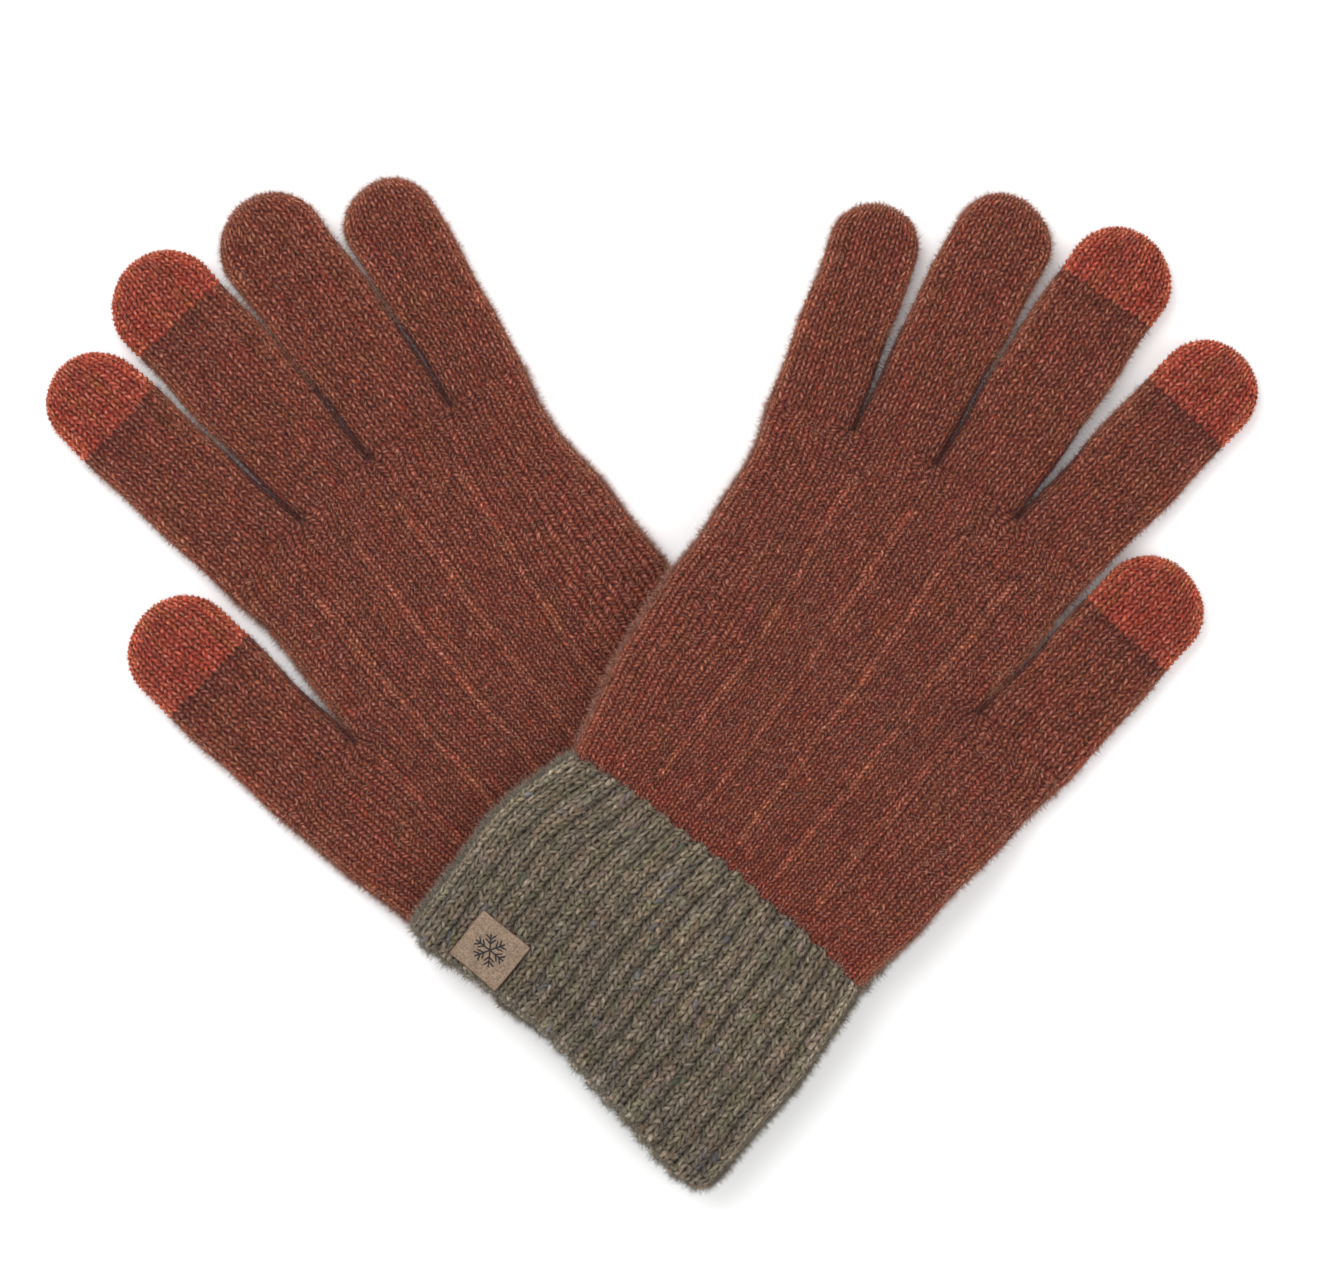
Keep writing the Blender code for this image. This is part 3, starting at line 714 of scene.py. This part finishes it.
def make_cuff(side):
    """The rib cuff, an open tube with an outer skin, an inner skin and two rounded rims."""
    glove = GLOVES[side]
    place = Placing(side)
    left_side = [glove["cuff_little_side"][0], glove["cuff_little_side"][1], (-WRIST_HALF, 0.0)]
    right_side = [*reversed(glove["cuff_thumb_side"]), (WRIST_HALF, 0.0)]
    spacing = CUFF_COURSE / CUFF_ROWS
    rows = round(-left_side[0][1] / spacing)
    left, right = flowing(left_side, rows), flowing(right_side, rows)
    columns = CUFF_RIBS * RIB_WALES * WALE_COLUMNS
    wale = np.arange(columns + 1) / WALE_COLUMNS
    share = wale / wale[-1]
    rib = (0.5 + 0.5 * np.cos(2.0 * math.pi * (wale - 1.0) / RIB_WALES)) ** RIB_SHAPE
    row = np.arange(rows + 1)
    knitting = Knitting()

    def skin(chosen, inner, lower):
        """One side of one skin, at the chosen rows."""
        part = chosen[:, None] / rows
        end_wall = smooth((part - 0.9) / 0.1)
        wall = (CUFF_WALL + (CUFF_END_WALL - CUFF_WALL) * end_wall) * inner
        fade = smooth(chosen / 3.0) * smooth((rows - chosen) / 3.0)
        push = chevron(wale)[None] * CHEVRON * CUFF_ROWS * fade[:, None] * (1.0 - inner)
        at = np.clip(chosen[:, None] + push, 0.0, rows)
        start, end = between_rows(left, at), between_rows(right, at)
        whole = np.hypot(*np.moveaxis(end - start, -1, 0))
        width = whole - 2.0 * wall
        radius = CUFF_RADIUS - wall
        over = across_tube(np.broadcast_to(share, at.shape), width, radius, radius)
        plan = start + (end - start) / whole[..., None] * (over + wall)[..., None]
        edge = np.minimum(over, width - over)
        height = radius * quarter(edge / radius)
        z = LIFT + CUFF_RADIUS + (-height if lower else height)
        # the wrist end bulges over the hand and is scalloped by the ribs; the mouth wavers a little
        bulge = WRIST_BULGE * np.sin(math.pi * share) ** 0.7
        scallop = SCALLOP * rib * np.sin(math.pi * share) ** 0.3
        wrist = smooth((at / rows - 0.8) / 0.2) * (bulge + scallop)[None]
        bow = glove["mouth_bow"] * np.sin(math.pi * share**0.8) ** 2
        corner = MOUTH_CORNER[1] * (1.0 - quarter(np.clip(edge / MOUTH_CORNER[0], 0.0, 1.0)))
        mouth = (bow[None] + corner) * (1.0 - part) ** 1.5
        mouth = mouth - smooth(1.0 - at / 6.0) * (MOUTH_SCALLOP * rib)[None]
        y = plan[..., 1] + wrist + mouth
        if lower:
            y = y - LOWER_LIP * (1.0 - part) ** 4 * np.sin(math.pi * share) ** 0.5
        x = plan[..., 0]
        depth = RIB_DEPTH * (1.0 - 0.65 * smooth((part - 0.9) / 0.1)) * (1.0 - 0.6 * inner)
        sink = -depth * (1.0 - rib)[None] * np.clip(edge / 2.0, 0.25, 1.0)
        course = np.broadcast_to(chosen[:, None] / CUFF_ROWS, x.shape)
        wales_here = np.broadcast_to(wale[None], x.shape)
        fine = CUFF_RELIEF * stitch(wales_here, course) * joined(rib)[None]
        relief = (sink + fine) if not inner else -(sink * 0.5)
        # a painted highlight along the sides and at the mouth, stronger on the mouth's lower side, which lies
        # in shade
        from_mouth = at * CUFF_COURSE / CUFF_ROWS
        lip_highlight = (1.0 - np.clip(from_mouth / LIP_HIGHLIGHT_REACH, 0.0, 1.0)) * (1.0 if lower else 0.35)
        rim = np.maximum(1.0 - np.clip(edge / RIM_HIGHLIGHT_REACH, 0.0, 1.0), lip_highlight)
        tint = np.stack([np.broadcast_to(1.0 - part, x.shape), np.zeros_like(x), rim], axis=-1)
        knit = np.stack([wales_here, course, np.broadcast_to(rib[None], x.shape)], axis=-1)
        return np.stack([x, y, z], axis=-1), knit, tint, relief

    inner_rows = np.array([rows, rows * 0.9, rows * 0.75, rows * 0.5, rows * 0.25, 12.0, 6.0, 3.0, 0.0])
    for lower in (False, True):
        outer = skin(row.astype(float), 0.0, lower)
        inner = skin(inner_rows, 1.0, lower)
        # over the outer skin to the wrist, round the rim, back along the inner skin, and round the mouth
        rims = []
        for one, two, out in ((outer, inner, 1.0), (inner, outer, -1.0)):
            first = [values[-1] for values in one]
            last = [values[0] for values in two]
            rim = []
            for turn in (0.3, 0.7):
                mixed = [f * (1.0 - turn) + l * turn for f, l in zip(first, last)]
                mixed[0] = mixed[0] + np.array((0.0, out * 0.35 * math.sin(math.pi * turn), 0.0))
                rim.append(mixed)
            rims.append([np.stack([rim[0][k], rim[1][k]]) for k in range(4)])
        loop = [np.concatenate([outer[k], rims[0][k], inner[k], rims[1][k], outer[k][:1]]) for k in range(4)]
        knitting.grid(*loop, flip=lower)
    return knitting.finish(place)


# Objects

def new_object(name, points, corners, totals, materials):
    """A smooth mesh object in metres, from points in millimetres and the corners of its faces."""
    mesh = bpy.data.meshes.new(name)
    mesh.vertices.add(len(points))
    mesh.vertices.foreach_set("co", (points * MM).astype(np.float32).ravel())
    mesh.loops.add(len(corners))
    mesh.loops.foreach_set("vertex_index", corners.astype(np.int32))
    mesh.polygons.add(len(totals))
    mesh.polygons.foreach_set("loop_start", np.r_[0, np.cumsum(totals)[:-1]].astype(np.int32))
    mesh.polygons.foreach_set("use_smooth", np.ones(len(totals), bool))
    for material in materials:
        mesh.materials.append(material)
    mesh.update(calc_edges=True)
    obj = bpy.data.objects.new(name, mesh)
    bpy.context.scene.collection.objects.link(obj)
    return obj


def add_mesh(name, made, material):
    """A piece of knitting, with its stitch coordinates and with sharp edges round its caps."""
    world, quads, caps, data, _ = made
    repeated = np.any(quads == np.roll(quads, 1, axis=1), axis=1)
    rings = [ring for ring in map(without_repeats, quads[repeated]) if len(ring) == 3] + caps
    corners = np.concatenate([quads[~repeated].ravel(), *rings])
    totals = np.r_[np.full(np.count_nonzero(~repeated), 4), [len(ring) for ring in rings]].astype(int)
    obj = new_object(name, world, corners, totals, [material])
    mesh = obj.data
    for label, values in data.items():
        attribute = mesh.attributes.new(label, "FLOAT_VECTOR", "POINT")
        attribute.data.foreach_set("vector", values.astype(np.float32).ravel())
    cap_corners = sum(len(ring) for ring in caps)
    if cap_corners:
        edges = np.empty(len(corners), np.int32)
        mesh.loops.foreach_get("edge_index", edges)
        sharp = np.zeros(len(mesh.edges), bool)
        sharp[edges[-cap_corners:]] = True
        mesh.edges.foreach_set("use_edge_sharp", sharp)
    return obj


def add_fuzz(name, made, tones, per_square, lengths):
    """Loose fibre ends: thin tapered prisms that stand off the surface, most of them round its edges."""
    world, quads, _, data, normals = made
    fibre_shade = np.clip(data["tint"][:, 1] * 2.0 - 0.3, 0.0, 1.0)[quads[:, 0]]
    a, b, c, d = (world[quads[:, k]] for k in range(4))
    area = np.linalg.norm(np.cross(c - a, d - b), axis=1) / 2
    up = normals[quads[:, 0]][:, 2]
    weight = area * (0.7 + FIBRE_EDGE * (1.0 - np.abs(up)) ** 1.5) * (up > -0.3) * (1.0 - 0.3 * fibre_shade)
    count = int(per_square * weight.sum())
    chosen = RANDOM.choice(len(quads), count, p=weight / weight.sum())
    u, v = RANDOM.random((2, count, 1))
    root = (a[chosen] * (1 - u) + b[chosen] * u) * (1 - v) + (d[chosen] * (1 - u) + c[chosen] * u) * v
    out = normals[quads[chosen, 0]]
    lean = RANDOM.normal(size=(count, 3))
    lean -= out * np.sum(lean * out, axis=1, keepdims=True)
    lean /= np.linalg.norm(lean, axis=1, keepdims=True)
    tilt = RANDOM.uniform(*FIBRE_TILT, (count, 1))
    length = lengths[0] + (lengths[1] - lengths[0]) * RANDOM.random((count, 1)) ** 1.7
    direction = out * np.cos(tilt) + lean * np.sin(tilt)
    side = np.cross(direction, RANDOM.normal(size=(count, 3)))
    side /= np.linalg.norm(side, axis=1, keepdims=True)
    other = np.cross(direction, side)
    curl = side * RANDOM.uniform(-FIBRE_CURL, FIBRE_CURL, (count, 1)) * length
    thin = RANDOM.uniform(*FIBRE_HALF, (count, 1))
    rings = []
    for share, taper in ((0.0, 1.0), (0.5, 0.8)):
        centre = root - out * FIBRE_DEPTH + direction * length * share + curl * share**2
        for corner in range(3):
            angle = 2.0 * math.pi * corner / 3
            rings.append(centre + (side * math.cos(angle) + other * math.sin(angle)) * thin * taper)
    points = np.stack([*rings, root + direction * length + curl], axis=1)
    points[:, :, 2] = np.maximum(points[:, :, 2], FIBRE_LOWEST)
    faces = [(2, 1, 0), (0, 1, 4, 3), (1, 2, 5, 4), (2, 0, 3, 5), (3, 4, 6), (4, 5, 6), (5, 3, 6)]
    first = np.arange(count)[:, None] * points.shape[1]
    corners = (first + np.concatenate(faces)[None]).ravel()
    totals = np.tile([len(face) for face in faces], count)
    obj = new_object(name, points.reshape(-1, 3), corners, totals, tones)
    tone = RANDOM.integers(0, len(tones), count)
    # fibres in the painted shade of crotches and slits take the darkest tone
    tone[fibre_shade[chosen] > 0.25] = len(tones) - 1
    obj.data.polygons.foreach_set("material_index", np.repeat(tone, len(faces)).astype(np.int32))
    return obj


# Materials

class Shading:
    """A Principled material and short ways to add its nodes."""

    def __init__(self, name, roughness, sheen=0.0, sheen_tint=(1.0, 1.0, 1.0)):
        self.material = bpy.data.materials.new(name)
        self.material.use_nodes = True
        self.tree = self.material.node_tree
        self.shader = self.tree.nodes["Principled BSDF"]
        for label, value in (("Roughness", roughness), ("Specular IOR Level", 0.25), ("Sheen Weight", sheen),
                             ("Sheen Roughness", 0.45), ("Sheen Tint", (*sheen_tint, 1.0))):
            self.shader.inputs[label].default_value = value

    def node(self, kind, **settings):
        """Add a node, and set or link its inputs by their names."""
        node = self.tree.nodes.new("ShaderNode" + kind)
        for label, value in settings.items():
            self.link(value, node.inputs[label])
        return node

    def link(self, value, socket):
        if isinstance(value, bpy.types.NodeSocket):
            self.tree.links.new(value, socket)
        else:
            socket.default_value = value

    def math(self, operation, a, b=0.0, c=0.0, clamp=False):
        node = self.node("Math")
        node.operation = operation
        node.use_clamp = clamp
        for socket, value in zip(node.inputs, (a, b, c)):
            self.link(value, socket)
        return node.outputs[0]

    def times(self, a, b, clamp=False):
        return self.math("MULTIPLY", a, b, clamp=clamp)

    def line(self, value, slope, start):
        return self.math("MULTIPLY_ADD", value, slope, start)

    def attribute(self, name):
        node = self.node("Attribute")
        node.attribute_name = name
        split = self.node("SeparateXYZ")
        self.tree.links.new(node.outputs["Vector"], split.inputs[0])
        return split.outputs

    def vector(self, x, y, z=0.0):
        return self.node("CombineXYZ", X=x, Y=y, Z=z).outputs[0]

    def position(self):
        return self.node("TexCoord").outputs["Object"]

    def noise(self, vector, scale, detail=2.0, roughness=0.5):
        node = self.node("TexNoise", Vector=vector, Scale=scale, Detail=detail, Roughness=roughness)
        return node.outputs["Fac"]

    def cell(self, x, y, z):
        """A random number that is the same all over one stitch."""
        node = self.node("TexWhiteNoise")
        node.noise_dimensions = "3D"
        self.link(self.vector(x, y, z), node.inputs["Vector"])
        return node.outputs["Value"]

    def span(self, value, low, high, to_low=0.0, to_high=1.0):
        ends = {"From Min": low, "From Max": high, "To Min": to_low, "To Max": to_high}
        return self.node("MapRange", Value=value, **ends).outputs["Result"]

    def mix(self, share, one, two, kind="MIX"):
        node = self.node("Mix")
        node.data_type = "RGBA"
        node.blend_type = kind
        self.link(share, node.inputs[0])
        for socket, value in zip((node.inputs[6], node.inputs[7]), (one, two)):
            self.link((*value, 1.0) if isinstance(value, tuple) else value, socket)
        return node.outputs[2]

    def tinted(self, colour, tone, share):
        """A colour multiplied by a tone, as far as the share says."""
        return self.mix(share, colour, tone, "MULTIPLY")

    def shaded(self, colour, shade):
        return self.tinted(colour, self.vector(shade, shade, shade), 1.0)

    def bump(self, height, distance):
        node = self.node("Bump", Strength=1.0, Distance=distance, Height=height)
        self.link(node.outputs["Normal"], self.shader.inputs["Normal"])

    def colour(self, value):
        self.link(value, self.shader.inputs["Base Color"])


def stitch_nodes(shading, lean, gap, waver, plies):
    """Height of the stitches, a number for each leg, the strands of the yarn, and the place in stitches.

    'lean' is how far neighbouring legs slant apart, 'gap' how deep the dips between the beads of a leg are,
    'waver' how far the stitches stray, and 'plies' how many strands cross a leg.
    """
    wale, course, extra = shading.attribute("knit")
    drift = shading.node("TexNoise", Vector=shading.position(), Scale=480.0, Detail=2.0)
    split = shading.node("SeparateColor")
    shading.link(drift.outputs["Color"], split.inputs[0])
    wale = shading.math("ADD", wale, shading.line(split.outputs[0], waver, -waver / 2))
    course = shading.math("ADD", course, shading.line(split.outputs[1], 1.6 * waver, -0.8 * waver))
    # neighbouring legs lean apart as they rise, and each is one rounded bead in each course
    leg = shading.math("FLOOR", wale)
    side = shading.line(shading.math("MODULO", leg, 2.0), 2.0 * lean, -lean)
    rise = shading.math("SUBTRACT", shading.math("FRACT", shading.math("ADD", course, 0.5)), 0.5)
    off = shading.math("SUBTRACT", shading.math("FRACT", wale), 0.5)
    off = shading.times(shading.math("ADD", off, shading.times(rise, side)), 2.0)
    rounding = shading.math("SUBTRACT", 1.0, shading.times(off, off))
    rounding = shading.math("SQRT", shading.math("MAXIMUM", rounding, 0.0))
    end = shading.math("POWER", shading.math("ABSOLUTE", shading.times(rise, 2.0)), 2.0)
    height = shading.times(rounding, shading.line(end, -gap, 1.0))
    number = shading.cell(leg, shading.math("FLOOR", shading.math("ADD", course, 0.5)), 3.0)
    yarn = shading.vector(shading.times(off, plies), shading.times(course, 0.6 * plies), leg)
    strands = shading.noise(yarn, 1.5, 2.0, 0.7)
    return height, number, strands, extra, shading.vector(wale, course)


def stretched(shading, stitches, across, along, seed, low, high):
    """Patches that are longer along the wales than across them, 0 to 1."""
    shifted = shading.node("VectorMath")
    shifted.operation = "MULTIPLY_ADD"
    shading.link(stitches, shifted.inputs[0])
    shifted.inputs[1].default_value = (across, along, 1.0)
    shifted.inputs[2].default_value = (seed * 7.3, seed * 3.1, seed)
    return shading.span(shading.noise(shifted.outputs[0], 1.0, 2.0, 0.6), low, high)


def marled(shading, colour, stitches, across, along, high, patches):
    """Lay patches of tone over a colour. Each patch is a tone, its strength and its seed."""
    for tone, amount, seed in patches:
        share = stretched(shading, stitches, across, along, seed, 0.5, high)
        colour = shading.tinted(colour, tone, shading.times(share, amount))
    return colour


def knit_material(name, yarn):
    """Plain knitting in a marled wool yarn."""
    shading = Shading(name, 0.95, 0.08, (0.9, 0.72, 0.62))
    height, number, strands, extra, stitches = stitch_nodes(shading, 0.25, 0.45, 1.0, 1.8)
    warmth, shade_greyness, rim = shading.attribute("tint")
    raised = shading.math("ADD", height, shading.line(strands, 1.1, -0.55))
    # painted shade in the gaps between the legs and a painted highlight on their tops, from the stitch height
    colour = shading.mix(shading.span(raised, 0.2, 0.75), yarn["gap_shade"], yarn["body"])
    colour = shading.mix(shading.span(raised, 0.85, 1.3), colour, yarn["crest_highlight_and_streak"])
    fluff = shading.span(shading.noise(shading.position(), 1000.0, 3.0, 0.65), 0.3, 0.7, 0.6, 1.42)
    colour = shading.shaded(colour, shading.times(shading.span(number, 0.0, 1.0, 0.76, 1.26), fluff))
    colour = marled(shading, colour, stitches, 0.3, 0.085, 0.72, yarn["patches"])
    streak = stretched(shading, stitches, 2.2, 0.28, 9.0, 0.62, 0.76)
    colour = shading.mix(shading.times(streak, 0.3), colour, yarn["crest_highlight_and_streak"])
    # a raised line is lighter, between two thin dark lines of painted shadow
    beside_shadow = shading.math("SUBTRACT", 1.0, shading.math("ABSOLUTE", shading.line(extra, 7.0, -1.1)))
    colour = shading.tinted(colour, (0.55, 0.5, 0.5), shading.times(beside_shadow, 0.8, clamp=True))
    rope = shading.times(shading.span(extra, 0.3, 0.6), shading.span(number, 0.0, 1.0, 0.45, 0.95))
    colour = shading.tinted(colour, yarn["ridge"], rope)
    # painted highlight along the edges, for the light that fibres seen edge on catch
    colour = shading.tinted(colour, (2.1, 2.3, 1.9), shading.times(shading.math("POWER", rim, 1.5), 0.8))
    colour = shading.tinted(colour, yarn["warm"], shading.times(warmth, 0.75))
    # painted shade round the crotches and in the slits, and greyer wool before a touch tip
    colour = shading.tinted(colour, yarn["shade_and_grey_tone"], shading.times(shade_greyness, 0.8))
    shading.colour(colour)
    fibre = shading.noise(shading.position(), 5200.0, 2.0, 0.7)
    shading.bump(shading.line(fibre, 0.35, raised), yarn["relief"])
    return shading.material


def cuff_material():
    """Rib knitting in a thicker, heathered yarn."""
    shading = Shading("cuff_rib_wool", 0.95, 0.08, (0.85, 0.82, 0.74))
    height, number, strands, rib, stitches = stitch_nodes(shading, 0.3, 0.4, 1.1, 2.8)
    lower, _, rim = shading.attribute("tint")
    raised = shading.math("ADD", height, shading.line(strands, 1.5, -0.75))
    # painted shade in the gaps between the legs and a painted highlight on their tops, from the stitch height
    colour = shading.mix(shading.span(raised, 0.15, 0.7), (0.020, 0.013, 0.008), (0.157, 0.119, 0.080))
    colour = shading.mix(shading.span(raised, 0.75, 1.25), colour, (0.360, 0.300, 0.235))
    # painted shade in the sunken grooves between the ribs, broken up by noise
    broken = shading.line(shading.noise(stitches, 0.9, 1.0, 0.5), 0.9, -0.45)
    groove_shade = shading.span(shading.math("ADD", rib, broken), -0.1, 0.6, 0.42, 1.08)
    fluff = shading.span(shading.noise(shading.position(), 1100.0, 2.0, 0.6), 0.3, 0.7, 0.66, 1.34)
    shade = shading.times(shading.span(number, 0.0, 1.0, 0.7, 1.32), groove_shade)
    colour = shading.shaded(colour, shading.times(shade, fluff))
    tones = (((0.88, 1.0, 0.76), 0.7, 1.0), ((1.0, 0.88, 0.96), 0.6, 2.0),
             ((0.84, 0.94, 1.06), 0.5, 3.0), ((1.1, 0.92, 0.8), 0.5, 4.0))
    colour = marled(shading, colour, stitches, 0.35, 0.2, 0.68, tones)
    # a few single legs in stray colours
    for tone, least, seed in (((0.12, 0.14, 0.20), 0.985, 5.0), ((0.15, 0.19, 0.11), 0.98, 6.0),
                              ((0.22, 0.13, 0.15), 0.985, 7.0), ((0.24, 0.15, 0.08), 0.985, 8.0)):
        stray = shading.math("GREATER_THAN", shading.cell(number, seed, 2.0), least)
        colour = shading.mix(shading.times(stray, 0.3), colour, tone)
    colour = shading.tinted(colour, (0.72, 0.74, 0.78), shading.times(shading.span(lower, 0.3, 1.0), 0.8))
    # painted highlight along the sides and the mouth
    colour = shading.tinted(colour, (3.0, 3.0, 3.0), shading.times(rim, 0.8))
    shading.colour(colour)
    fibre = shading.noise(shading.position(), 4200.0, 2.0, 0.7)
    shading.bump(shading.line(fibre, 0.4, raised), 0.0003)
    return shading.material


def fuzz_material(name, tone):
    """Single fibres, too thin to show more than their tone."""
    shading = Shading(name, 0.9, 0.1, (1.0, 0.95, 0.9))
    shading.colour((*tone, 1.0))
    return shading.material


def label_material():
    """Grained tan leather with a darker cut edge and a printed mark."""
    shading = Shading("label_leather", 0.6)
    mark, edge, _ = shading.attribute("tint")
    place = shading.position()
    cloud = shading.span(shading.noise(place, 260.0, 4.0, 0.65), 0.3, 0.7)
    colour = shading.mix(cloud, (0.240, 0.168, 0.115), (0.305, 0.217, 0.153))
    grain = shading.noise(place, 2600.0, 3.0, 0.6)
    colour = shading.mix(shading.span(grain, 0.42, 0.62, 0.0, 0.75), colour, (0.11, 0.072, 0.048))
    colour = shading.mix(edge, colour, (0.10, 0.035, 0.022))
    colour = shading.mix(mark, colour, (0.012, 0.010, 0.012))
    shading.colour(colour)
    shading.bump(grain, 0.00012)
    return shading.material


# The label

def mark_shade(x, y):
    """How dark the printed mark is at a point of the label: a six-armed star of plain lines."""
    nearest = np.full_like(x, FAR)
    for arm in range(6):
        angle = math.pi * arm / 3
        along = x * math.cos(angle) + y * math.sin(angle)
        across = np.abs(-x * math.sin(angle) + y * math.cos(angle))
        line = np.maximum(across, np.maximum(along - MARK_ARM, 0.2 - along))
        nearest = np.minimum(nearest, line)
        for start in MARK_BARBS:
            on = along - start
            barb = np.abs(across - on) / math.sqrt(2.0)
            nearest = np.minimum(nearest, np.maximum(barb, np.maximum(on - MARK_BARB, -on)))
    return 1.0 - smooth((nearest - MARK_LINE / 2) / 0.12)


def make_label(material):
    """A thin square of leather, its face a fine grid so that the mark is pressed in as well as printed."""
    line = np.linspace(-LABEL_SIDE / 2, LABEL_SIDE / 2, LABEL_CELLS + 1)
    x, y = np.meshgrid(line, line, indexing="ij")
    reach = LABEL_SIDE / 2 - LABEL_CORNER
    dx, dy = np.maximum(np.abs(x) - reach, 0.0), np.maximum(np.abs(y) - reach, 0.0)
    beyond = np.hypot(dx, dy)
    pull = np.where(beyond > 1e-9, np.maximum(dx, dy) / np.maximum(beyond, 1e-9), 1.0)
    x = np.sign(x) * (np.minimum(np.abs(x), reach) + dx * pull)
    y = np.sign(y) * (np.minimum(np.abs(y), reach) + dy * pull)
    edge = LABEL_SIDE / 2 - np.maximum(np.abs(x), np.abs(y))
    edge = np.where((dx > 0) & (dy > 0), LABEL_CORNER - beyond * pull, edge)
    mark = mark_shade(x, y)
    top = LABEL_THICK - LABEL_RIM * (1.0 - quarter(edge / 0.3)) - MARK_DEPTH * mark
    top += 0.05 * np.sin(x * 0.9 + 1.0) * np.cos(y * 0.7)
    turn = math.radians(LABEL_TURN)
    x, y = x * LABEL_STRETCH[0], y * LABEL_STRETCH[1]
    plan_x = LABEL_CENTRE[0] + x * math.cos(turn) - y * math.sin(turn)
    plan_y = LABEL_CENTRE[1] + x * math.sin(turn) + y * math.cos(turn)
    seat = LIFT + 2.0 * CUFF_RADIUS - LABEL_SINK
    none = np.zeros_like(x)
    face = np.stack([plan_x, plan_y, seat + top], axis=-1)
    under = np.stack([plan_x, plan_y, seat + none], axis=-1)
    face_tint = np.stack([mark, 1.0 - smooth(edge / LABEL_RIM), none], axis=-1)
    knitting = Knitting()

    def sheet(points, tint=(0.0, 1.0, 0.0), flip=False):
        """Part of the label's surface, in the cut edge's tint if no other is given."""
        flat = np.zeros(points.shape)
        knitting.grid(points, flat, np.broadcast_to(tint, points.shape), flat[..., 0], flip)

    sheet(face, face_tint, flip=True)
    sheet(under)
    onward, back = slice(None), slice(None, None, -1)
    for pick in ((onward, 0), (-1, onward), (back, -1), (0, back)):
        sheet(np.stack([under[pick], face[pick]]))
    obj = add_mesh("left_label_leather", knitting.finish(Placing("left")), material)
    obj.data.set_sharp_from_angle(angle=math.radians(50.0))
    return obj


# Putting it together

def bend_over(piece, joint_name, before, after):
    """Bake a piece's transform into its mesh. The joint's name, 'before' and 'after' are not used."""
    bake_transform(piece)


def add_knitting(node, ending, made, yarn, body=None, bend=None):
    """A piece of knitting that stands for a node, and its fibres, attached to a body, or with their
    transforms baked in where a joint is given.
    """
    slot, material, tones, per_square, lengths = yarn
    piece = add_mesh(f"{node}_{ending}", made, material)
    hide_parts(node)
    fuzz = add_fuzz(f"{node}_fibres", made, tones, per_square, lengths)
    for each in (piece, fuzz):
        if bend:
            bend_over(each, *bend)
        else:
            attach(each, body)


def build_gloves():
    hand, touch, cuff = (knit_material("hand_wool", HAND_YARN), knit_material("touch_wool", TOUCH_YARN),
                         cuff_material())
    tones = {name: tuple(fuzz_material(*tone) for tone in listed) for name, listed in FIBRE_TONES.items()}
    for side in ("right", "left"):
        cuff_yarn = ("cuff_rib", cuff, tones["cuff"], *CUFF_FIBRES)
        cuff_body = "root" if side == "right" else "left_cuff"
        add_knitting(f"{side}_cuff", "rib", make_cuff(side), cuff_yarn, body=cuff_body)
        hand_yarn = ("hand_knit", hand, tones["hand"], *HAND_FIBRES)
        bend = None if side == "right" else ("left_wrist_fold", *WRIST_BEND)
        add_knitting(f"{side}_hand", "knit", make_hand(side), hand_yarn, body="root", bend=bend)
        for name in FINGERS:
            node = f"{side}_{name}"
            parts = make_finger(side, name)
            finger_yarn = ("hand_knit", hand, tones["hand"], *FINGER_FIBRES)
            add_knitting(node, "knit", parts[0], finger_yarn, bend=(f"{node}_fold", *FINGER_BEND))
            for tip in parts[1:]:
                tip_yarn = ("touch_knit", touch, tones["touch"], *TIP_FIBRES)
                add_knitting(f"{node}_tip", "knit", tip, tip_yarn, body=node)

    label = make_label(label_material())
    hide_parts("left_label")
    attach(label, "left_cuff")


def build_stage():
    """A plain white floor that glows a little, a white world and two soft lamps."""
    mesh = bpy.data.meshes.new("floor")
    bm = bmesh.new()
    bmesh.ops.create_grid(bm, x_segments=1, y_segments=1, size=3.0)
    bm.to_mesh(mesh)
    bm.free()
    shading = Shading("floor_white", 0.9)
    shading.colour((0.93, 0.93, 0.93, 1.0))
    shading.shader.inputs["Emission Color"].default_value = (1.0, 1.0, 1.0, 1.0)
    shading.shader.inputs["Emission Strength"].default_value = FLOOR_GLOW
    mesh.materials.append(shading.material)
    floor = bpy.data.objects.new("floor", mesh)
    floor.location.z = FLOOR_HEIGHT
    bpy.context.scene.collection.objects.link(floor)

    world = bpy.data.worlds.new("studio")
    world.use_nodes = True
    background = world.node_tree.nodes["Background"]
    background.inputs["Color"].default_value = (1.0, 1.0, 1.0, 1.0)
    background.inputs["Strength"].default_value = WORLD_STRENGTH
    bpy.context.scene.world = world

    for name, place, size, power in LAMPS:
        lamp = bpy.data.lights.new(name, "AREA")
        lamp.shape = "DISK"
        lamp.size = size
        lamp.energy = power
        obj = bpy.data.objects.new(name, lamp)
        obj.location = place
        obj.rotation_euler = (-Vector(place)).to_track_quat("-Z", "Y").to_euler()
        bpy.context.scene.collection.objects.link(obj)


def build_camera():
    """Straight down over the middle of the view, from far off."""
    data = bpy.data.cameras.new("camera")
    data.sensor_width = 36.0
    data.lens = data.sensor_width * CAMERA_HEIGHT / VIEW_WIDTH
    data.clip_start = 0.05
    data.clip_end = 20.0
    camera = bpy.data.objects.new("camera", data)
    camera.location = (*VIEW_CENTRE, CAMERA_HEIGHT)
    bpy.context.scene.collection.objects.link(camera)
    bpy.context.scene.camera = camera


build_camera()
build_stage()
build_gloves()
bpy.context.scene.view_settings.view_transform = "Standard"
